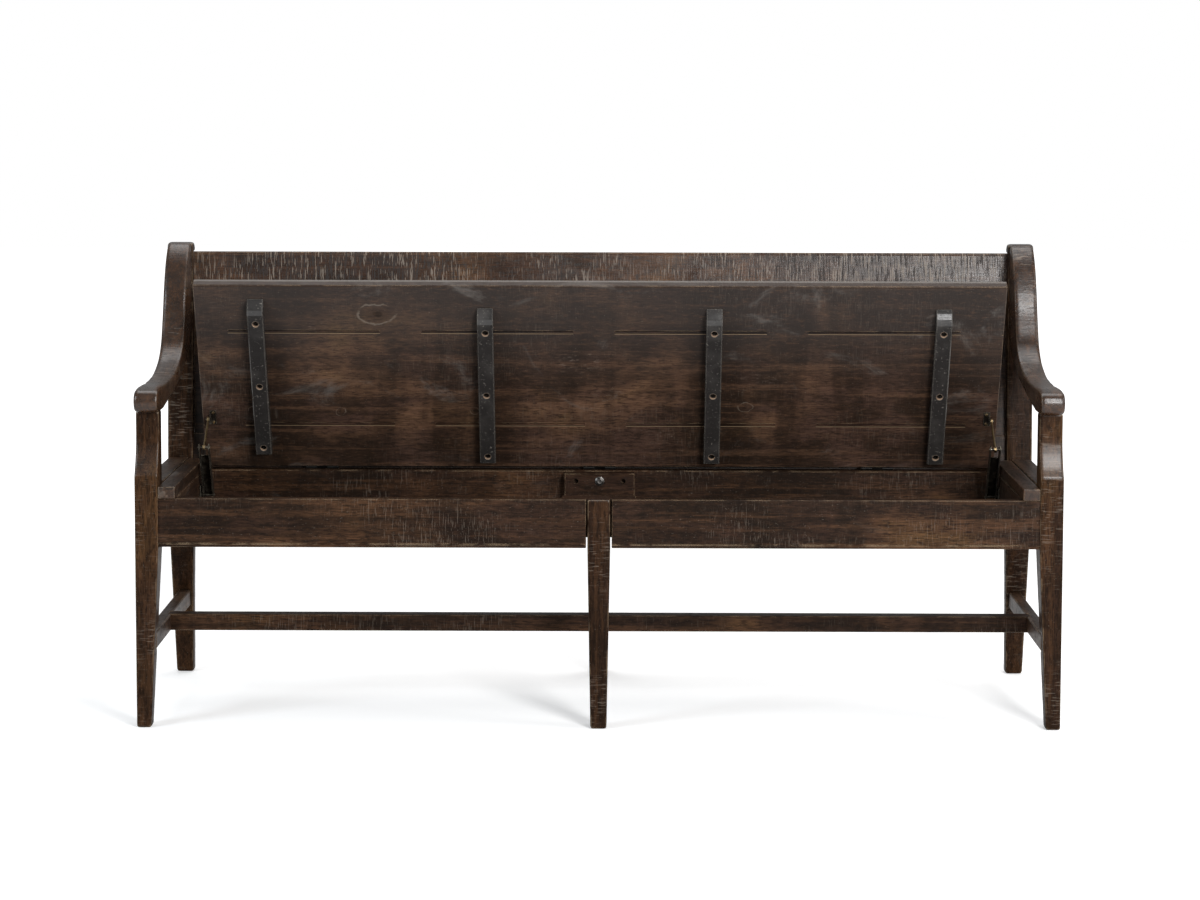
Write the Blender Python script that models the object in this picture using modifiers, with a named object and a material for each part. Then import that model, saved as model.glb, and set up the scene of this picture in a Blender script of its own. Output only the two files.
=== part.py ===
# Storage bench with a hinged seat lid, a panelled back and scroll arms.
# Metres, +Z up, +Y towards the back. The origin is under the middle of the bench, on the floor.
# The lid stands open on its two folding stays, and turns down about the pins of its hinges.

import bpy
import bmesh
from math import atan2, cos, pi, radians, tan
from mathutils import Matrix, Vector

# Overall sizes
WIDTH = 1.700
SEAT_HEIGHT = 0.447
BACK_HEIGHT = 0.8665
ARM_HEIGHT = 0.6205
GAP = 0.0003
LAP = 0.0005
EASE = 0.0018

# Legs and posts, with depths counted back from the front of the front legs
LEG_WIDTH = 0.043
LEG_DEPTH = 0.058
LEG_FOOT_WIDTH = 0.027
LEG_FOOT_DEPTH = 0.032
LEG_CURVE_TOP = 0.078
LEG_CURVE_FOOT = 0.020
LEG_RECESS = 0.026
POST_WIDTH = 0.050
POST_DEPTH = 0.048
POST_FOOT_WIDTH = 0.034
POST_FOOT_DEPTH = 0.034
POST_FRONT = 0.419
POST_RAKE = 0.095
POST_LEAN = radians(3.5)
POST_TOP_ROUND = 0.014
CENTRE_LEG_WIDTH = 0.042
CENTRE_FOOT_WIDTH = 0.030
CENTRE_LEG_DEPTH = 0.045
BACK_CENTRE_DROP = 0.018

# Arms
ARM_WIDTH = 0.045
ARM_THICK = 0.037
ARM_NOSE = 0.022
NOSE_RISE = 0.006
ARM_INSET = 0.003
ARM_EASE = 0.0080

# Aprons round the seat box
APRON_HEIGHT = 0.090
APRON_THICK = 0.022
APRON_SETBACK = 0.005
BACK_APRON_THICK = 0.034
BACK_APRON_FRONT = 0.400
SIDE_APRON_INSET = 0.014
APRON_CENTRE_GAP = 0.0025
BEAD_RISE = 0.0055
BEAD_WIDTH = 0.0018
BEAD_DEPTH = 0.0014
HOUSING = 0.012

# Seat box
LID_THICK = 0.0215
LID_DEPTH = 0.410
LID_SIDE_GAP = 0.0035
STRIP_WIDTH = 0.031
STRIP_END = 0.403
END_BOARD_GAP = 0.0025
END_BOARD_INSET = 0.003
BOX_SIDE_THICK = 0.018
BOTTOM_THICK = 0.006
BOTTOM_RAISE = 0.0168
GROOVE = 0.006
CORNER_BLOCK = 0.020
SPLICE_WIDTH = 0.138
FRONT_SPLICE_DEPTH = 0.045
BACK_SPLICE_DEPTH = 0.026
SPLICE_BELOW = 0.002

# Stretchers
STRETCHER_TOP = 0.1740
STRETCHER_HEIGHT = 0.031
STRETCHER_WIDTH = 0.023
STRETCHER_INSET = 0.0125
LONG_STRETCHER_FRONT = 0.2035
LONG_STRETCHER_DEPTH = 0.033

# Back frame, in the plane that leans with the posts
RAIL_SETBACK = 0.018
RAIL_THICK = 0.022
CREST_TOP = 0.851
CREST_HEIGHT = 0.095
CREST_EASE = 0.006
LOWER_RAIL_RISE = 0.046
LOWER_RAIL_HEIGHT = 0.081
PANEL_THICK = 0.012
PANEL_TONGUE = 0.010

# Lid battens and saw cuts
BATTEN_INSET = 0.1017
BATTEN_COUNT = 4
BATTEN_WIDTH = 0.031
BATTEN_THICK = 0.020
BATTEN_BACK = 0.020
BATTEN_LENGTH = 0.341
BATTEN_TOE = 0.026
BATTEN_TIP = 0.002
FIRST_BATTEN_SHIFT = 0.019
SCREW_HOLE = 0.0135
SCREW_HOLE_DEPTH = 0.012
SCREW_MARGIN = 0.016
KERF_COUNT = 4
KERF_MARGIN = 0.0722
KERF_SPACE = 0.080
KERF_WIDTH = 0.0030
KERF_DEPTH = 0.006
KERF_ROWS = (0.100, 0.309)
KERF_SHIFT = 0.022

# Hinges
OPEN_ANGLE = radians(64.3)
HINGE_COUNT = 3
HINGE_INSET = 0.2272
HINGE_LENGTH = 0.063
HINGE_LEAF = 0.0130
HINGE_METAL = 0.0015
KNUCKLE = 0.0070
HINGE_PIN = 0.0032
PIN_CLEARANCE = 0.0002
HINGE_AXIS_DEPTH = 0.4155

# Lid stays, each a channel arm and a rod that keep parallel to the lid and its hinge
STAY_ARM = 0.118
STAY_DROP = 0.013
STAY_LINK_RUN = 0.064
STAY_LINK_DROP = 0.047
STAY_INSET = 0.012
CHANNEL_WIDTH = 0.020
CHANNEL_HEIGHT = 0.015
CHANNEL_METAL = 0.0018
LINK_THICK = 0.0045
LINK_WIDTH = 0.0044
LINK_EYE = 0.0110
STAY_PIN = 0.0050
STAY_COLLAR = 0.0090
STAY_PLATE = 0.0020
BASE_LENGTH = 0.040
BASE_HEIGHT = 0.046
EAR_SIZE = 0.014
BRACKET_LENGTH = 0.030
BRACKET_WIDTH = 0.012

# Connector bolts and screw holes of the splice blocks
BOLT_HEAD = 0.0180
BOLT_HEAD_HEIGHT = 0.0022
BOLT_SOCKET = 0.0060
BOLT_DROP = 0.0178
BLOCK_SCREW_SPREAD = 0.0460
BLOCK_HOLE = 0.0095

# Places worked out from the sizes above
HALF = WIDTH / 2
APRON_TOP = SEAT_HEIGHT - LID_THICK - GAP
APRON_FOOT = APRON_TOP - APRON_HEIGHT
POST_INNER = HALF - POST_WIDTH
LEG_INNER = HALF - LEG_WIDTH
FRONT = (ARM_NOSE - POST_FRONT - POST_RAKE - POST_FOOT_DEPTH) / 2
ARM_UNDER = ARM_HEIGHT - ARM_THICK
NOSE_ROUND = (ARM_THICK + NOSE_RISE) / 2 - 0.001
POST_BACK = POST_FRONT + POST_DEPTH
STRIP_OUTER = LEG_INNER - GAP
STRIP_INNER = STRIP_OUTER - STRIP_WIDTH
LID_HALF = STRIP_INNER - LID_SIDE_GAP
APRON_BACK = APRON_SETBACK + APRON_THICK
BOTTOM_FOOT = APRON_FOOT + BOTTOM_RAISE
BOTTOM_TOP = BOTTOM_FOOT + BOTTOM_THICK
HINGE_HEIGHT = APRON_TOP + GAP + KNUCKLE / 2
LID_BACK = KNUCKLE / 2 + GAP
LID_UNDER = APRON_TOP + GAP - HINGE_HEIGHT
STAY_PLANE = LID_HALF - STAY_INSET
BACK_APRON_BACK = BACK_APRON_FRONT + BACK_APRON_THICK


def clear_scene():
    for thing in list(bpy.data.objects):
        bpy.data.objects.remove(thing, do_unlink=True)
    for group in list(bpy.data.collections):
        bpy.data.collections.remove(group)


def make_collection(name):
    group = bpy.data.collections.new(name)
    bpy.context.scene.collection.children.link(group)
    return group


clear_scene()
BENCH = make_collection("storage_bench")
CUTTERS = make_collection("cutters")


def finish_material(name, colour, roughness, metallic):
    material = bpy.data.materials.new(name)
    material.use_nodes = True
    shader = material.node_tree.nodes["Principled BSDF"]
    shader.inputs["Base Color"].default_value = (*colour, 1.0)
    shader.inputs["Roughness"].default_value = roughness
    shader.inputs["Metallic"].default_value = metallic
    material.diffuse_color = (*colour, 1.0)
    return material


STAINED_WOOD = finish_material("stained_wood", (0.040, 0.024, 0.015), 0.45, 0.0)
DARK_INNER_WOOD = finish_material("inner_wood", (0.028, 0.018, 0.012), 0.60, 0.0)
BLACK_BATTEN = finish_material("black_batten", (0.022, 0.023, 0.024), 0.40, 0.0)
BLACK_STEEL = finish_material("black_steel", (0.020, 0.020, 0.021), 0.35, 0.9)
BRASSED_STEEL = finish_material("brassed_steel", (0.420, 0.330, 0.210), 0.35, 1.0)
BRIGHT_STEEL = finish_material("bright_steel", (0.450, 0.450, 0.460), 0.25, 1.0)


def depth(value):
    # World Y of a depth counted back from the front of the front legs
    return FRONT + value


def place(thing, group, parent=None, material=None):
    for old in list(thing.users_collection):
        old.objects.unlink(thing)
    group.objects.link(thing)
    if parent is not None:
        thing.parent = parent
    if material is not None:
        thing.data.materials.clear()
        thing.data.materials.append(material)
    if group is CUTTERS:
        thing.hide_render = True
        thing.display_type = "WIRE"
    return thing


def pivot(name, location, angle=0.0, parent=None):
    empty = bpy.data.objects.new(name, None)
    BENCH.objects.link(empty)
    empty.location = location
    empty.rotation_euler = (angle, 0.0, 0.0)
    empty.parent = parent
    return empty


def ease_edges(thing, width, segments=2):
    bevel = thing.modifiers.new("eased edges", "BEVEL")
    bevel.width = width
    bevel.segments = segments
    bevel.limit_method = "ANGLE"
    bevel.angle_limit = radians(40)
    bevel.harden_normals = False
    return bevel


def block(name, low, high, material=None, ease=0.0, segments=1, parent=None, group=BENCH):
    # A rectangular piece between two corners
    size = Vector(high) - Vector(low)
    bpy.ops.mesh.primitive_cube_add(size=1.0)
    thing = bpy.context.object
    thing.name = name
    thing.data.transform(Matrix.Diagonal((*size, 1.0)))
    thing.location = (Vector(low) + Vector(high)) / 2
    place(thing, group, parent, material)
    if ease:
        ease_edges(thing, ease, segments)
    return thing


def rod(name, centre, axis, diameter, length, material=None, sides=16, parent=None, group=BENCH):
    # A round bar along X, Y or Z
    bpy.ops.mesh.primitive_cylinder_add(vertices=sides, radius=diameter / 2, depth=length)
    thing = bpy.context.object
    thing.name = name
    turn = {"X": (0.0, pi / 2, 0.0), "Y": (pi / 2, 0.0, 0.0), "Z": (0.0, 0.0, 0.0)}[axis]
    thing.rotation_euler = turn
    thing.location = centre
    place(thing, group, parent, material)
    return thing


def combine(base, tool, operation):
    step = base.modifiers.new(operation.lower(), "BOOLEAN")
    step.operation = operation
    step.solver = "EXACT"
    step.object = tool
    return step


def cut(base, tool):
    combine(base, tool, "DIFFERENCE")


def add(base, tool):
    # Welds a tool from the cutters collection to its base, as one solid
    combine(base, tool, "UNION")


def let_in(host, name, low, high, parent=None):
    # Cuts a housing in the host for a piece between two corners
    room = Vector((GAP, GAP, GAP))
    tool = block(name, Vector(low) - room, Vector(high) + room, parent=parent, group=CUTTERS)
    cut(host, tool)


def outline(name, knots, low_x, high_x, material=None, steps=8, parent=None, group=BENCH):
    # A flat outline of (y, z, corner or smooth) knots, as thick as the span in X, made a mesh
    drawn = bpy.data.curves.new(name, "CURVE")
    drawn.dimensions = "2D"
    drawn.fill_mode = "BOTH"
    drawn.extrude = (high_x - low_x) / 2
    drawn.resolution_u = steps
    spline = drawn.splines.new("BEZIER")
    spline.bezier_points.add(len(knots) - 1)
    spline.use_cyclic_u = True
    for point, (y, z, kind) in zip(spline.bezier_points, knots):
        point.co = (y, z, 0.0)
        handle = "AUTO" if kind == "smooth" else "VECTOR"
        point.handle_left_type = handle
        point.handle_right_type = handle
    sketch = bpy.data.objects.new(name + "_sketch", drawn)
    BENCH.objects.link(sketch)
    sketch.location = ((low_x + high_x) / 2, 0.0, 0.0)
    sketch.rotation_euler = (pi / 2, 0.0, pi / 2)
    bpy.context.view_layer.update()
    graph = bpy.context.evaluated_depsgraph_get()
    mesh = bpy.data.meshes.new_from_object(sketch.evaluated_get(graph))
    work = bmesh.new()
    work.from_mesh(mesh)
    bmesh.ops.remove_doubles(work, verts=work.verts, dist=0.00001)
    bmesh.ops.dissolve_limit(work, angle_limit=radians(0.5), verts=work.verts, edges=work.edges)
    bmesh.ops.recalc_face_normals(work, faces=work.faces)
    work.to_mesh(mesh)
    work.free()
    thing = bpy.data.objects.new(name, mesh)
    thing.matrix_world = sketch.matrix_world.copy()
    bpy.data.objects.remove(sketch, do_unlink=True)
    bpy.data.curves.remove(drawn)
    BENCH.objects.link(thing)
    place(thing, group, parent, material)
    return thing


def taper_width(thing, full, foot, start, sides):
    # Narrows the named side faces of a leg from the start height down to the foot
    work = bmesh.new()
    work.from_mesh(thing.data)
    parts = work.verts[:] + work.edges[:] + work.faces[:]
    fold = (0.0, start, 0.0)
    bmesh.ops.bisect_plane(work, geom=parts, dist=0.00001, plane_co=fold, plane_no=(0.0, 1.0, 0.0))
    for vertex in work.verts:
        height = vertex.co.y
        toward = 1 if vertex.co.z > 0 else -1
        if toward in sides and height < start:
            vertex.co.z -= toward * (full - foot) * (start - height) / start
    work.to_mesh(thing.data)
    work.free()


def post_front(height):
    # Depth of the front face of a back post above the seat
    return POST_FRONT + max(0.0, height - SEAT_HEIGHT) * tan(POST_LEAN)


def smooth_rounds(thing):
    thing.data.shade_smooth()
    thing.data.set_sharp_from_angle(angle=radians(35))


# Legs, posts and arms

def front_leg(side, name):
    back = LEG_DEPTH
    knots = [
        (depth(0.0), 0.0, "corner"),
        (depth(LEG_FOOT_DEPTH), 0.0, "corner"),
        (depth(back), APRON_FOOT, "corner"),
        (depth(back), ARM_UNDER - GAP, "corner"),
        (depth(LEG_RECESS), ARM_UNDER - GAP, "corner"),
        (depth(LEG_RECESS), SEAT_HEIGHT + LEG_CURVE_TOP + 0.012, "corner"),
        (depth(LEG_RECESS - 0.002), SEAT_HEIGHT + LEG_CURVE_TOP - 0.004, "smooth"),
        (depth(LEG_RECESS * 0.45), SEAT_HEIGHT + LEG_CURVE_FOOT + 0.021, "smooth"),
        (depth(0.0), SEAT_HEIGHT + LEG_CURVE_FOOT, "corner"),
    ]
    low, high = sorted((side * HALF, side * LEG_INNER))
    leg = outline(name, knots, low, high, STAINED_WOOD, 5)
    taper_width(leg, LEG_WIDTH, LEG_FOOT_WIDTH, APRON_FOOT, (-side,))
    smooth_rounds(leg)
    ease_edges(leg, EASE)
    return leg


def back_post(side, name):
    top_front = post_front(BACK_HEIGHT)
    top_back = top_front + POST_DEPTH - 0.008
    knots = [
        (depth(POST_FRONT + POST_RAKE), 0.0, "corner"),
        (depth(POST_FRONT + POST_RAKE + POST_FOOT_DEPTH), 0.0, "corner"),
        (depth(POST_BACK + 0.004), APRON_FOOT - 0.045, "smooth"),
        (depth(POST_BACK), APRON_FOOT + 0.030, "smooth"),
        (depth(POST_BACK), SEAT_HEIGHT - 0.020, "smooth"),
        (depth(post_front(SEAT_HEIGHT + 0.110) + POST_DEPTH), SEAT_HEIGHT + 0.110, "smooth"),
        (depth(top_back - 0.001), BACK_HEIGHT - POST_TOP_ROUND, "smooth"),
        (depth(top_back - POST_TOP_ROUND), BACK_HEIGHT, "smooth"),
        (depth(top_front), BACK_HEIGHT, "corner"),
        (depth(POST_FRONT), SEAT_HEIGHT, "corner"),
        (depth(POST_FRONT), APRON_FOOT, "corner"),
    ]
    low, high = sorted((side * HALF, side * POST_INNER))
    post = outline(name, knots, low, high, STAINED_WOOD, 5)
    taper_width(post, POST_WIDTH, POST_FOOT_WIDTH, APRON_FOOT, (-side,))
    smooth_rounds(post)
    ease_edges(post, EASE)
    return post


def arm(side, name):
    # The scroll arm: a rounded nose over the front leg, a level rest, and a wing that climbs the post
    nose = depth(-ARM_NOSE)
    low_nose = ARM_UNDER + NOSE_ROUND
    nose_top = ARM_HEIGHT + NOSE_RISE
    high_nose = nose_top - NOSE_ROUND
    wing_back = depth(post_front(BACK_HEIGHT) - GAP)
    knots = [
        (nose + NOSE_ROUND, ARM_UNDER, "corner"),
        (nose + NOSE_ROUND * 0.29, ARM_UNDER + NOSE_ROUND * 0.29, "smooth"),
        (nose, low_nose, "smooth"),
        (nose, high_nose, "smooth"),
        (nose + NOSE_ROUND * 0.29, nose_top - NOSE_ROUND * 0.29, "smooth"),
        (nose + NOSE_ROUND * 1.2, nose_top, "smooth"),
        (depth(0.140), nose_top + 0.001, "smooth"),
        (depth(0.245), ARM_HEIGHT + 0.020, "smooth"),
        (depth(0.312), ARM_HEIGHT + 0.052, "smooth"),
        (depth(0.345), ARM_HEIGHT + 0.108, "smooth"),
        (depth(0.370), ARM_HEIGHT + 0.172, "smooth"),
        (depth(0.402), ARM_HEIGHT + 0.224, "smooth"),
        (wing_back - 0.012, BACK_HEIGHT, "smooth"),
        (wing_back, BACK_HEIGHT, "corner"),
        (depth(post_front(ARM_HEIGHT + 0.083) - GAP), ARM_HEIGHT + 0.083, "corner"),
        (depth(POST_FRONT - 0.027), ARM_HEIGHT + 0.040, "smooth"),
        (depth(0.320), ARM_UNDER + 0.045, "smooth"),
        (depth(0.220), ARM_UNDER + 0.022, "smooth"),
        (depth(0.120), ARM_UNDER + 0.008, "smooth"),
        (depth(LEG_DEPTH), ARM_UNDER, "corner"),
    ]
    outer = HALF - ARM_INSET
    low, high = sorted((side * outer, side * (outer - ARM_WIDTH)))
    rest = outline(name, knots, low, high, STAINED_WOOD, 5)
    smooth_rounds(rest)
    ease_edges(rest, ARM_EASE, 3)
    return rest


def centre_leg(name, front, rake, depth_above, foot_depth, top):
    # A leg on the middle line, tapered on both sides
    half_top = CENTRE_LEG_WIDTH / 2
    half_foot = CENTRE_FOOT_WIDTH / 2
    knots = [
        (depth(front + rake), 0.0, "corner"),
        (depth(front + rake + foot_depth), 0.0, "corner"),
        (depth(front + CENTRE_LEG_DEPTH), APRON_FOOT, "corner"),
        (depth(front + CENTRE_LEG_DEPTH), BOTTOM_FOOT - 2 * EASE, "corner"),
        (depth(front + depth_above), BOTTOM_FOOT - 2 * EASE, "corner"),
        (depth(front + depth_above), top, "corner"),
        (depth(front), top, "corner"),
        (depth(front), APRON_FOOT, "corner"),
    ]
    leg = outline(name, knots, -half_top, half_top, STAINED_WOOD, 4)
    taper_width(leg, half_top, half_foot, APRON_FOOT, (-1, 1))
    ease_edges(leg, EASE)
    return leg


def both_sides(maker, stem):
    return {side: maker(side, f"{stem}_{word}") for side, word in ((-1, "left"), (1, "right"))}


LEGS = both_sides(front_leg, "front_leg")
POSTS = both_sides(back_post, "back_post")
ARMS = both_sides(arm, "arm")
FRONT_CENTRE = centre_leg(
    "centre_leg_front", 0.0, 0.0, APRON_BACK - GAP, LEG_FOOT_DEPTH, APRON_TOP
)
BACK_CENTRE_FRONT = BACK_APRON_BACK + GAP
BACK_CENTRE_RAKE = POST_FRONT + POST_RAKE - BACK_CENTRE_FRONT
BACK_CENTRE = centre_leg(
    "centre_leg_back", BACK_CENTRE_FRONT, BACK_CENTRE_RAKE, CENTRE_LEG_DEPTH, POST_FOOT_DEPTH,
    APRON_TOP - BACK_CENTRE_DROP
)


# Aprons and the box below the lid

def front_aprons():
    for side, word in ((-1, "left"), (1, "right")):
        near = CENTRE_LEG_WIDTH / 2 + APRON_CENTRE_GAP
        ends = sorted((side * near, side * (LEG_INNER + HOUSING)))
        low = (ends[0], depth(APRON_SETBACK), APRON_FOOT)
        high = (ends[1], depth(APRON_BACK), APRON_TOP)
        apron = block(f"front_apron_{word}", low, high, STAINED_WOOD, EASE, 2)
        let_in(LEGS[side], f"front_apron_housing_{word}", low, high)
        bead = APRON_FOOT + BEAD_RISE
        line_low = (ends[0] - GAP, depth(APRON_SETBACK - BEAD_DEPTH), bead)
        line_high = (ends[1] + GAP, depth(APRON_SETBACK + BEAD_DEPTH), bead + BEAD_WIDTH)
        cut(apron, block(f"front_bead_{word}", line_low, line_high, group=CUTTERS))
        groove_low = (ends[0] - GAP, depth(APRON_BACK - GROOVE), BOTTOM_FOOT)
        groove_high = (ends[1] + GAP, depth(APRON_BACK + GROOVE), BOTTOM_TOP)
        let_in(apron, f"front_groove_{word}", groove_low, groove_high)


def back_apron():
    low = (-POST_INNER - HOUSING, depth(BACK_APRON_FRONT), APRON_FOOT)
    high = (POST_INNER + HOUSING, depth(BACK_APRON_BACK), APRON_TOP)
    apron = block("back_apron", low, high, STAINED_WOOD, EASE, 1)
    for side, post in POSTS.items():
        tool = f"back_apron_housing_{side + 1}"
        let_in(post, tool, low, high)
    groove_low = (low[0] - GAP, depth(BACK_APRON_FRONT - GROOVE), BOTTOM_FOOT)
    groove_high = (high[0] + GAP, depth(BACK_APRON_FRONT + GROOVE), BOTTOM_TOP)
    let_in(apron, "back_groove", groove_low, groove_high)
    for number, x in enumerate(hinge_places(), 1):
        let_in(apron, f"hinge_mortise_{number}", *fixed_leaf_span(x))


def hinge_places():
    first = HINGE_INSET - LID_HALF
    pitch = -2 * first / (HINGE_COUNT - 1)
    return [first + pitch * number for number in range(HINGE_COUNT)]


def fixed_leaf_span(x):
    # Corners of the leaf let in flush with the top of the back apron
    axis_y = depth(HINGE_AXIS_DEPTH)
    low = (x - HINGE_LENGTH / 2, axis_y, APRON_TOP - HINGE_METAL)
    high = (x + HINGE_LENGTH / 2, axis_y + KNUCKLE / 2 + HINGE_LEAF, APRON_TOP)
    return low, high


def lid_leaf_span(x):
    # Corners of the leaf let in flush with the back edge of the lid, in the axes of the pins
    low = (x - HINGE_LENGTH / 2, -LID_BACK - HINGE_METAL, LID_UNDER)
    high = (x + HINGE_LENGTH / 2, -LID_BACK, LID_UNDER + HINGE_LEAF)
    return low, high


def side_aprons():
    for side, word in ((-1, "left"), (1, "right")):
        outer = HALF - SIDE_APRON_INSET
        across = sorted((side * outer, side * (outer - APRON_THICK)))
        low = (across[0], depth(LEG_DEPTH - HOUSING), APRON_FOOT)
        high = (across[1], depth(POST_FRONT + HOUSING), APRON_TOP)
        block(f"side_apron_{word}", low, high, STAINED_WOOD, EASE, 1)
        let_in(LEGS[side], f"side_apron_housing_front_{word}", low, high)
        let_in(POSTS[side], f"side_apron_housing_back_{word}", low, high)


def seat_ends():
    # Each end of the seat: a strip beside the lid and a board between the leg and the post
    for side, word in ((-1, "left"), (1, "right")):
        across = sorted((side * STRIP_OUTER, side * STRIP_INNER))
        low = (across[0], depth(0.0), APRON_TOP + GAP)
        high = (across[1], depth(STRIP_END), SEAT_HEIGHT)
        block(f"seat_strip_{word}", low, high, STAINED_WOOD, EASE, 2)
        inner = STRIP_OUTER + END_BOARD_GAP
        across = sorted((side * (HALF - END_BOARD_INSET), side * inner))
        low = (across[0], depth(LEG_DEPTH + GAP), APRON_TOP + GAP)
        high = (across[1], depth(POST_FRONT - GAP), SEAT_HEIGHT)
        block(f"seat_end_board_{word}", low, high, STAINED_WOOD, EASE, 2)
        across = sorted((side * STRIP_INNER, side * (STRIP_INNER + BOX_SIDE_THICK)))
        low = (across[0], depth(APRON_BACK + GAP), BOTTOM_FOOT)
        high = (across[1], depth(BACK_APRON_FRONT - GAP), APRON_TOP)
        block(f"box_side_{word}", low, high, DARK_INNER_WOOD, EASE, 1)


def box_bottom():
    reach = STRIP_INNER - GAP
    low = (-reach, depth(APRON_BACK - GROOVE), BOTTOM_FOOT)
    high = (reach, depth(BACK_APRON_FRONT + GROOVE), BOTTOM_TOP)
    panel = block("box_bottom", low, high, DARK_INNER_WOOD)
    half = CENTRE_LEG_WIDTH / 2 + APRON_CENTRE_GAP
    notch_low = (-half, depth(0.0), BOTTOM_FOOT)
    notch_high = (half, depth(APRON_BACK), BOTTOM_TOP)
    let_in(panel, "bottom_notch", notch_low, notch_high)


def corner_blocks():
    for side, word in ((-1, "left"), (1, "right")):
        across = sorted((side * (STRIP_INNER - GAP), side * (STRIP_INNER - CORNER_BLOCK)))
        spans = {
            "front": (APRON_BACK + GAP, APRON_BACK + CORNER_BLOCK),
            "back": (BACK_APRON_FRONT - CORNER_BLOCK, BACK_APRON_FRONT - GAP),
        }
        for end, (near, far) in spans.items():
            low = (across[0], depth(near), BOTTOM_TOP + GAP)
            high = (across[1], depth(far), APRON_TOP - 0.004)
            block(f"corner_block_{end}_{word}", low, high, DARK_INNER_WOOD, EASE, 1)


def splice_blocks():
    # A block behind each centre leg ties it to the aprons, with a connector bolt between two screw holes
    spans = {
        "front": (APRON_BACK + GAP, APRON_BACK + FRONT_SPLICE_DEPTH, 1),
        "back": (BACK_APRON_FRONT - BACK_SPLICE_DEPTH, BACK_APRON_FRONT - GAP, -1),
    }
    half = SPLICE_WIDTH / 2
    height = APRON_TOP - BOLT_DROP
    for end, (near, far, facing) in spans.items():
        low = (-half, depth(near), BOTTOM_TOP + GAP)
        high = (half, depth(far), APRON_TOP - SPLICE_BELOW)
        tie = block(f"splice_block_{end}", low, high, STAINED_WOOD, EASE, 1)
        face = depth(far if facing > 0 else near)
        for number, x in enumerate((-BLOCK_SCREW_SPREAD, BLOCK_SCREW_SPREAD)):
            hole = rod(
                f"splice_hole_{end}_{number}", (x, face, height), "Y",
                BLOCK_HOLE, SCREW_HOLE_DEPTH * 2, group=CUTTERS,
            )
            cut(tie, hole)
        middle = face + facing * (GAP + BOLT_HEAD_HEIGHT / 2)
        bolt = rod(
            f"splice_bolt_{end}", (0.0, middle, height), "Y", BOLT_HEAD, BOLT_HEAD_HEIGHT,
            BRIGHT_STEEL, 24,
        )
        socket = rod(
            f"splice_socket_{end}", (0.0, middle + facing * BOLT_HEAD_HEIGHT / 2, height), "Y",
            BOLT_SOCKET, BOLT_HEAD_HEIGHT, sides=6, group=CUTTERS,
        )
        smooth_rounds(bolt)
        cut(bolt, socket)


front_aprons()
back_apron()
side_aprons()
seat_ends()
box_bottom()
corner_blocks()
splice_blocks()


# Stretchers, housed in the legs

def stretchers():
    foot = STRETCHER_TOP - STRETCHER_HEIGHT
    outer = HALF - STRETCHER_INSET
    rake_there = POST_RAKE * (1 - STRETCHER_TOP / APRON_FOOT)
    for side, word in ((-1, "left"), (1, "right")):
        across = sorted((side * outer, side * (outer - STRETCHER_WIDTH)))
        low = (across[0], depth(LEG_FOOT_DEPTH - HOUSING), foot)
        high = (across[1], depth(POST_FRONT + rake_there + HOUSING * 1.5), STRETCHER_TOP)
        rail = block(f"side_stretcher_{word}", low, high, STAINED_WOOD, EASE, 1)
        let_in(LEGS[side], f"stretcher_housing_front_{word}", low, high)
        let_in(POSTS[side], f"stretcher_housing_back_{word}", low, high)
        inner = outer - STRETCHER_WIDTH
        end = sorted((side * (inner - HOUSING), side * (inner + HOUSING / 2)))
        pocket_low = (end[0], depth(LONG_STRETCHER_FRONT), foot)
        pocket_high = (end[1], depth(LONG_STRETCHER_FRONT + LONG_STRETCHER_DEPTH), STRETCHER_TOP)
        let_in(rail, f"long_stretcher_housing_{word}", pocket_low, pocket_high)
    reach = outer - STRETCHER_WIDTH + HOUSING / 2
    low = (-reach, depth(LONG_STRETCHER_FRONT), foot)
    high = (reach, depth(LONG_STRETCHER_FRONT + LONG_STRETCHER_DEPTH), STRETCHER_TOP)
    block("long_stretcher", low, high, STAINED_WOOD, EASE, 2)


stretchers()


# Back frame, drawn upright in a plane that leans with the posts

def back_frame():
    plane = pivot("back_plane", (0.0, depth(POST_FRONT), SEAT_HEIGHT), -POST_LEAN)
    front = RAIL_SETBACK
    rise = 1 / cos(POST_LEAN)
    crest_top = (CREST_TOP - SEAT_HEIGHT) * rise
    lower_top = LOWER_RAIL_RISE * rise
    reach = POST_INNER + HOUSING
    middle = front + RAIL_THICK / 2
    panel_reach = POST_INNER - GAP
    panel_span = (
        (-panel_reach, middle - PANEL_THICK / 2, lower_top - PANEL_TONGUE),
        (panel_reach, middle + PANEL_THICK / 2, crest_top - CREST_HEIGHT + PANEL_TONGUE),
    )
    rails = {
        "crest_rail": (crest_top - CREST_HEIGHT, crest_top, CREST_EASE),
        "lower_back_rail": (lower_top - LOWER_RAIL_HEIGHT, lower_top, EASE),
    }
    for name, (foot, top, ease) in rails.items():
        low = (-reach, front, foot)
        high = (reach, front + RAIL_THICK, top)
        rail = block(name, low, high, STAINED_WOOD, ease, 2, parent=plane)
        for side, post in POSTS.items():
            let_in(post, f"{name}_housing_{side + 1}", low, high, parent=plane)
        let_in(rail, f"{name}_groove", *panel_span, parent=plane)
    block("back_panel", *panel_span, STAINED_WOOD, parent=plane)


back_frame()


# Lid, drawn closed in the axes of its hinge pins, whose empty holds it open

LID_AXIS = pivot("lid_axis", (0.0, depth(HINGE_AXIS_DEPTH), HINGE_HEIGHT), -OPEN_ANGLE)


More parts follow.
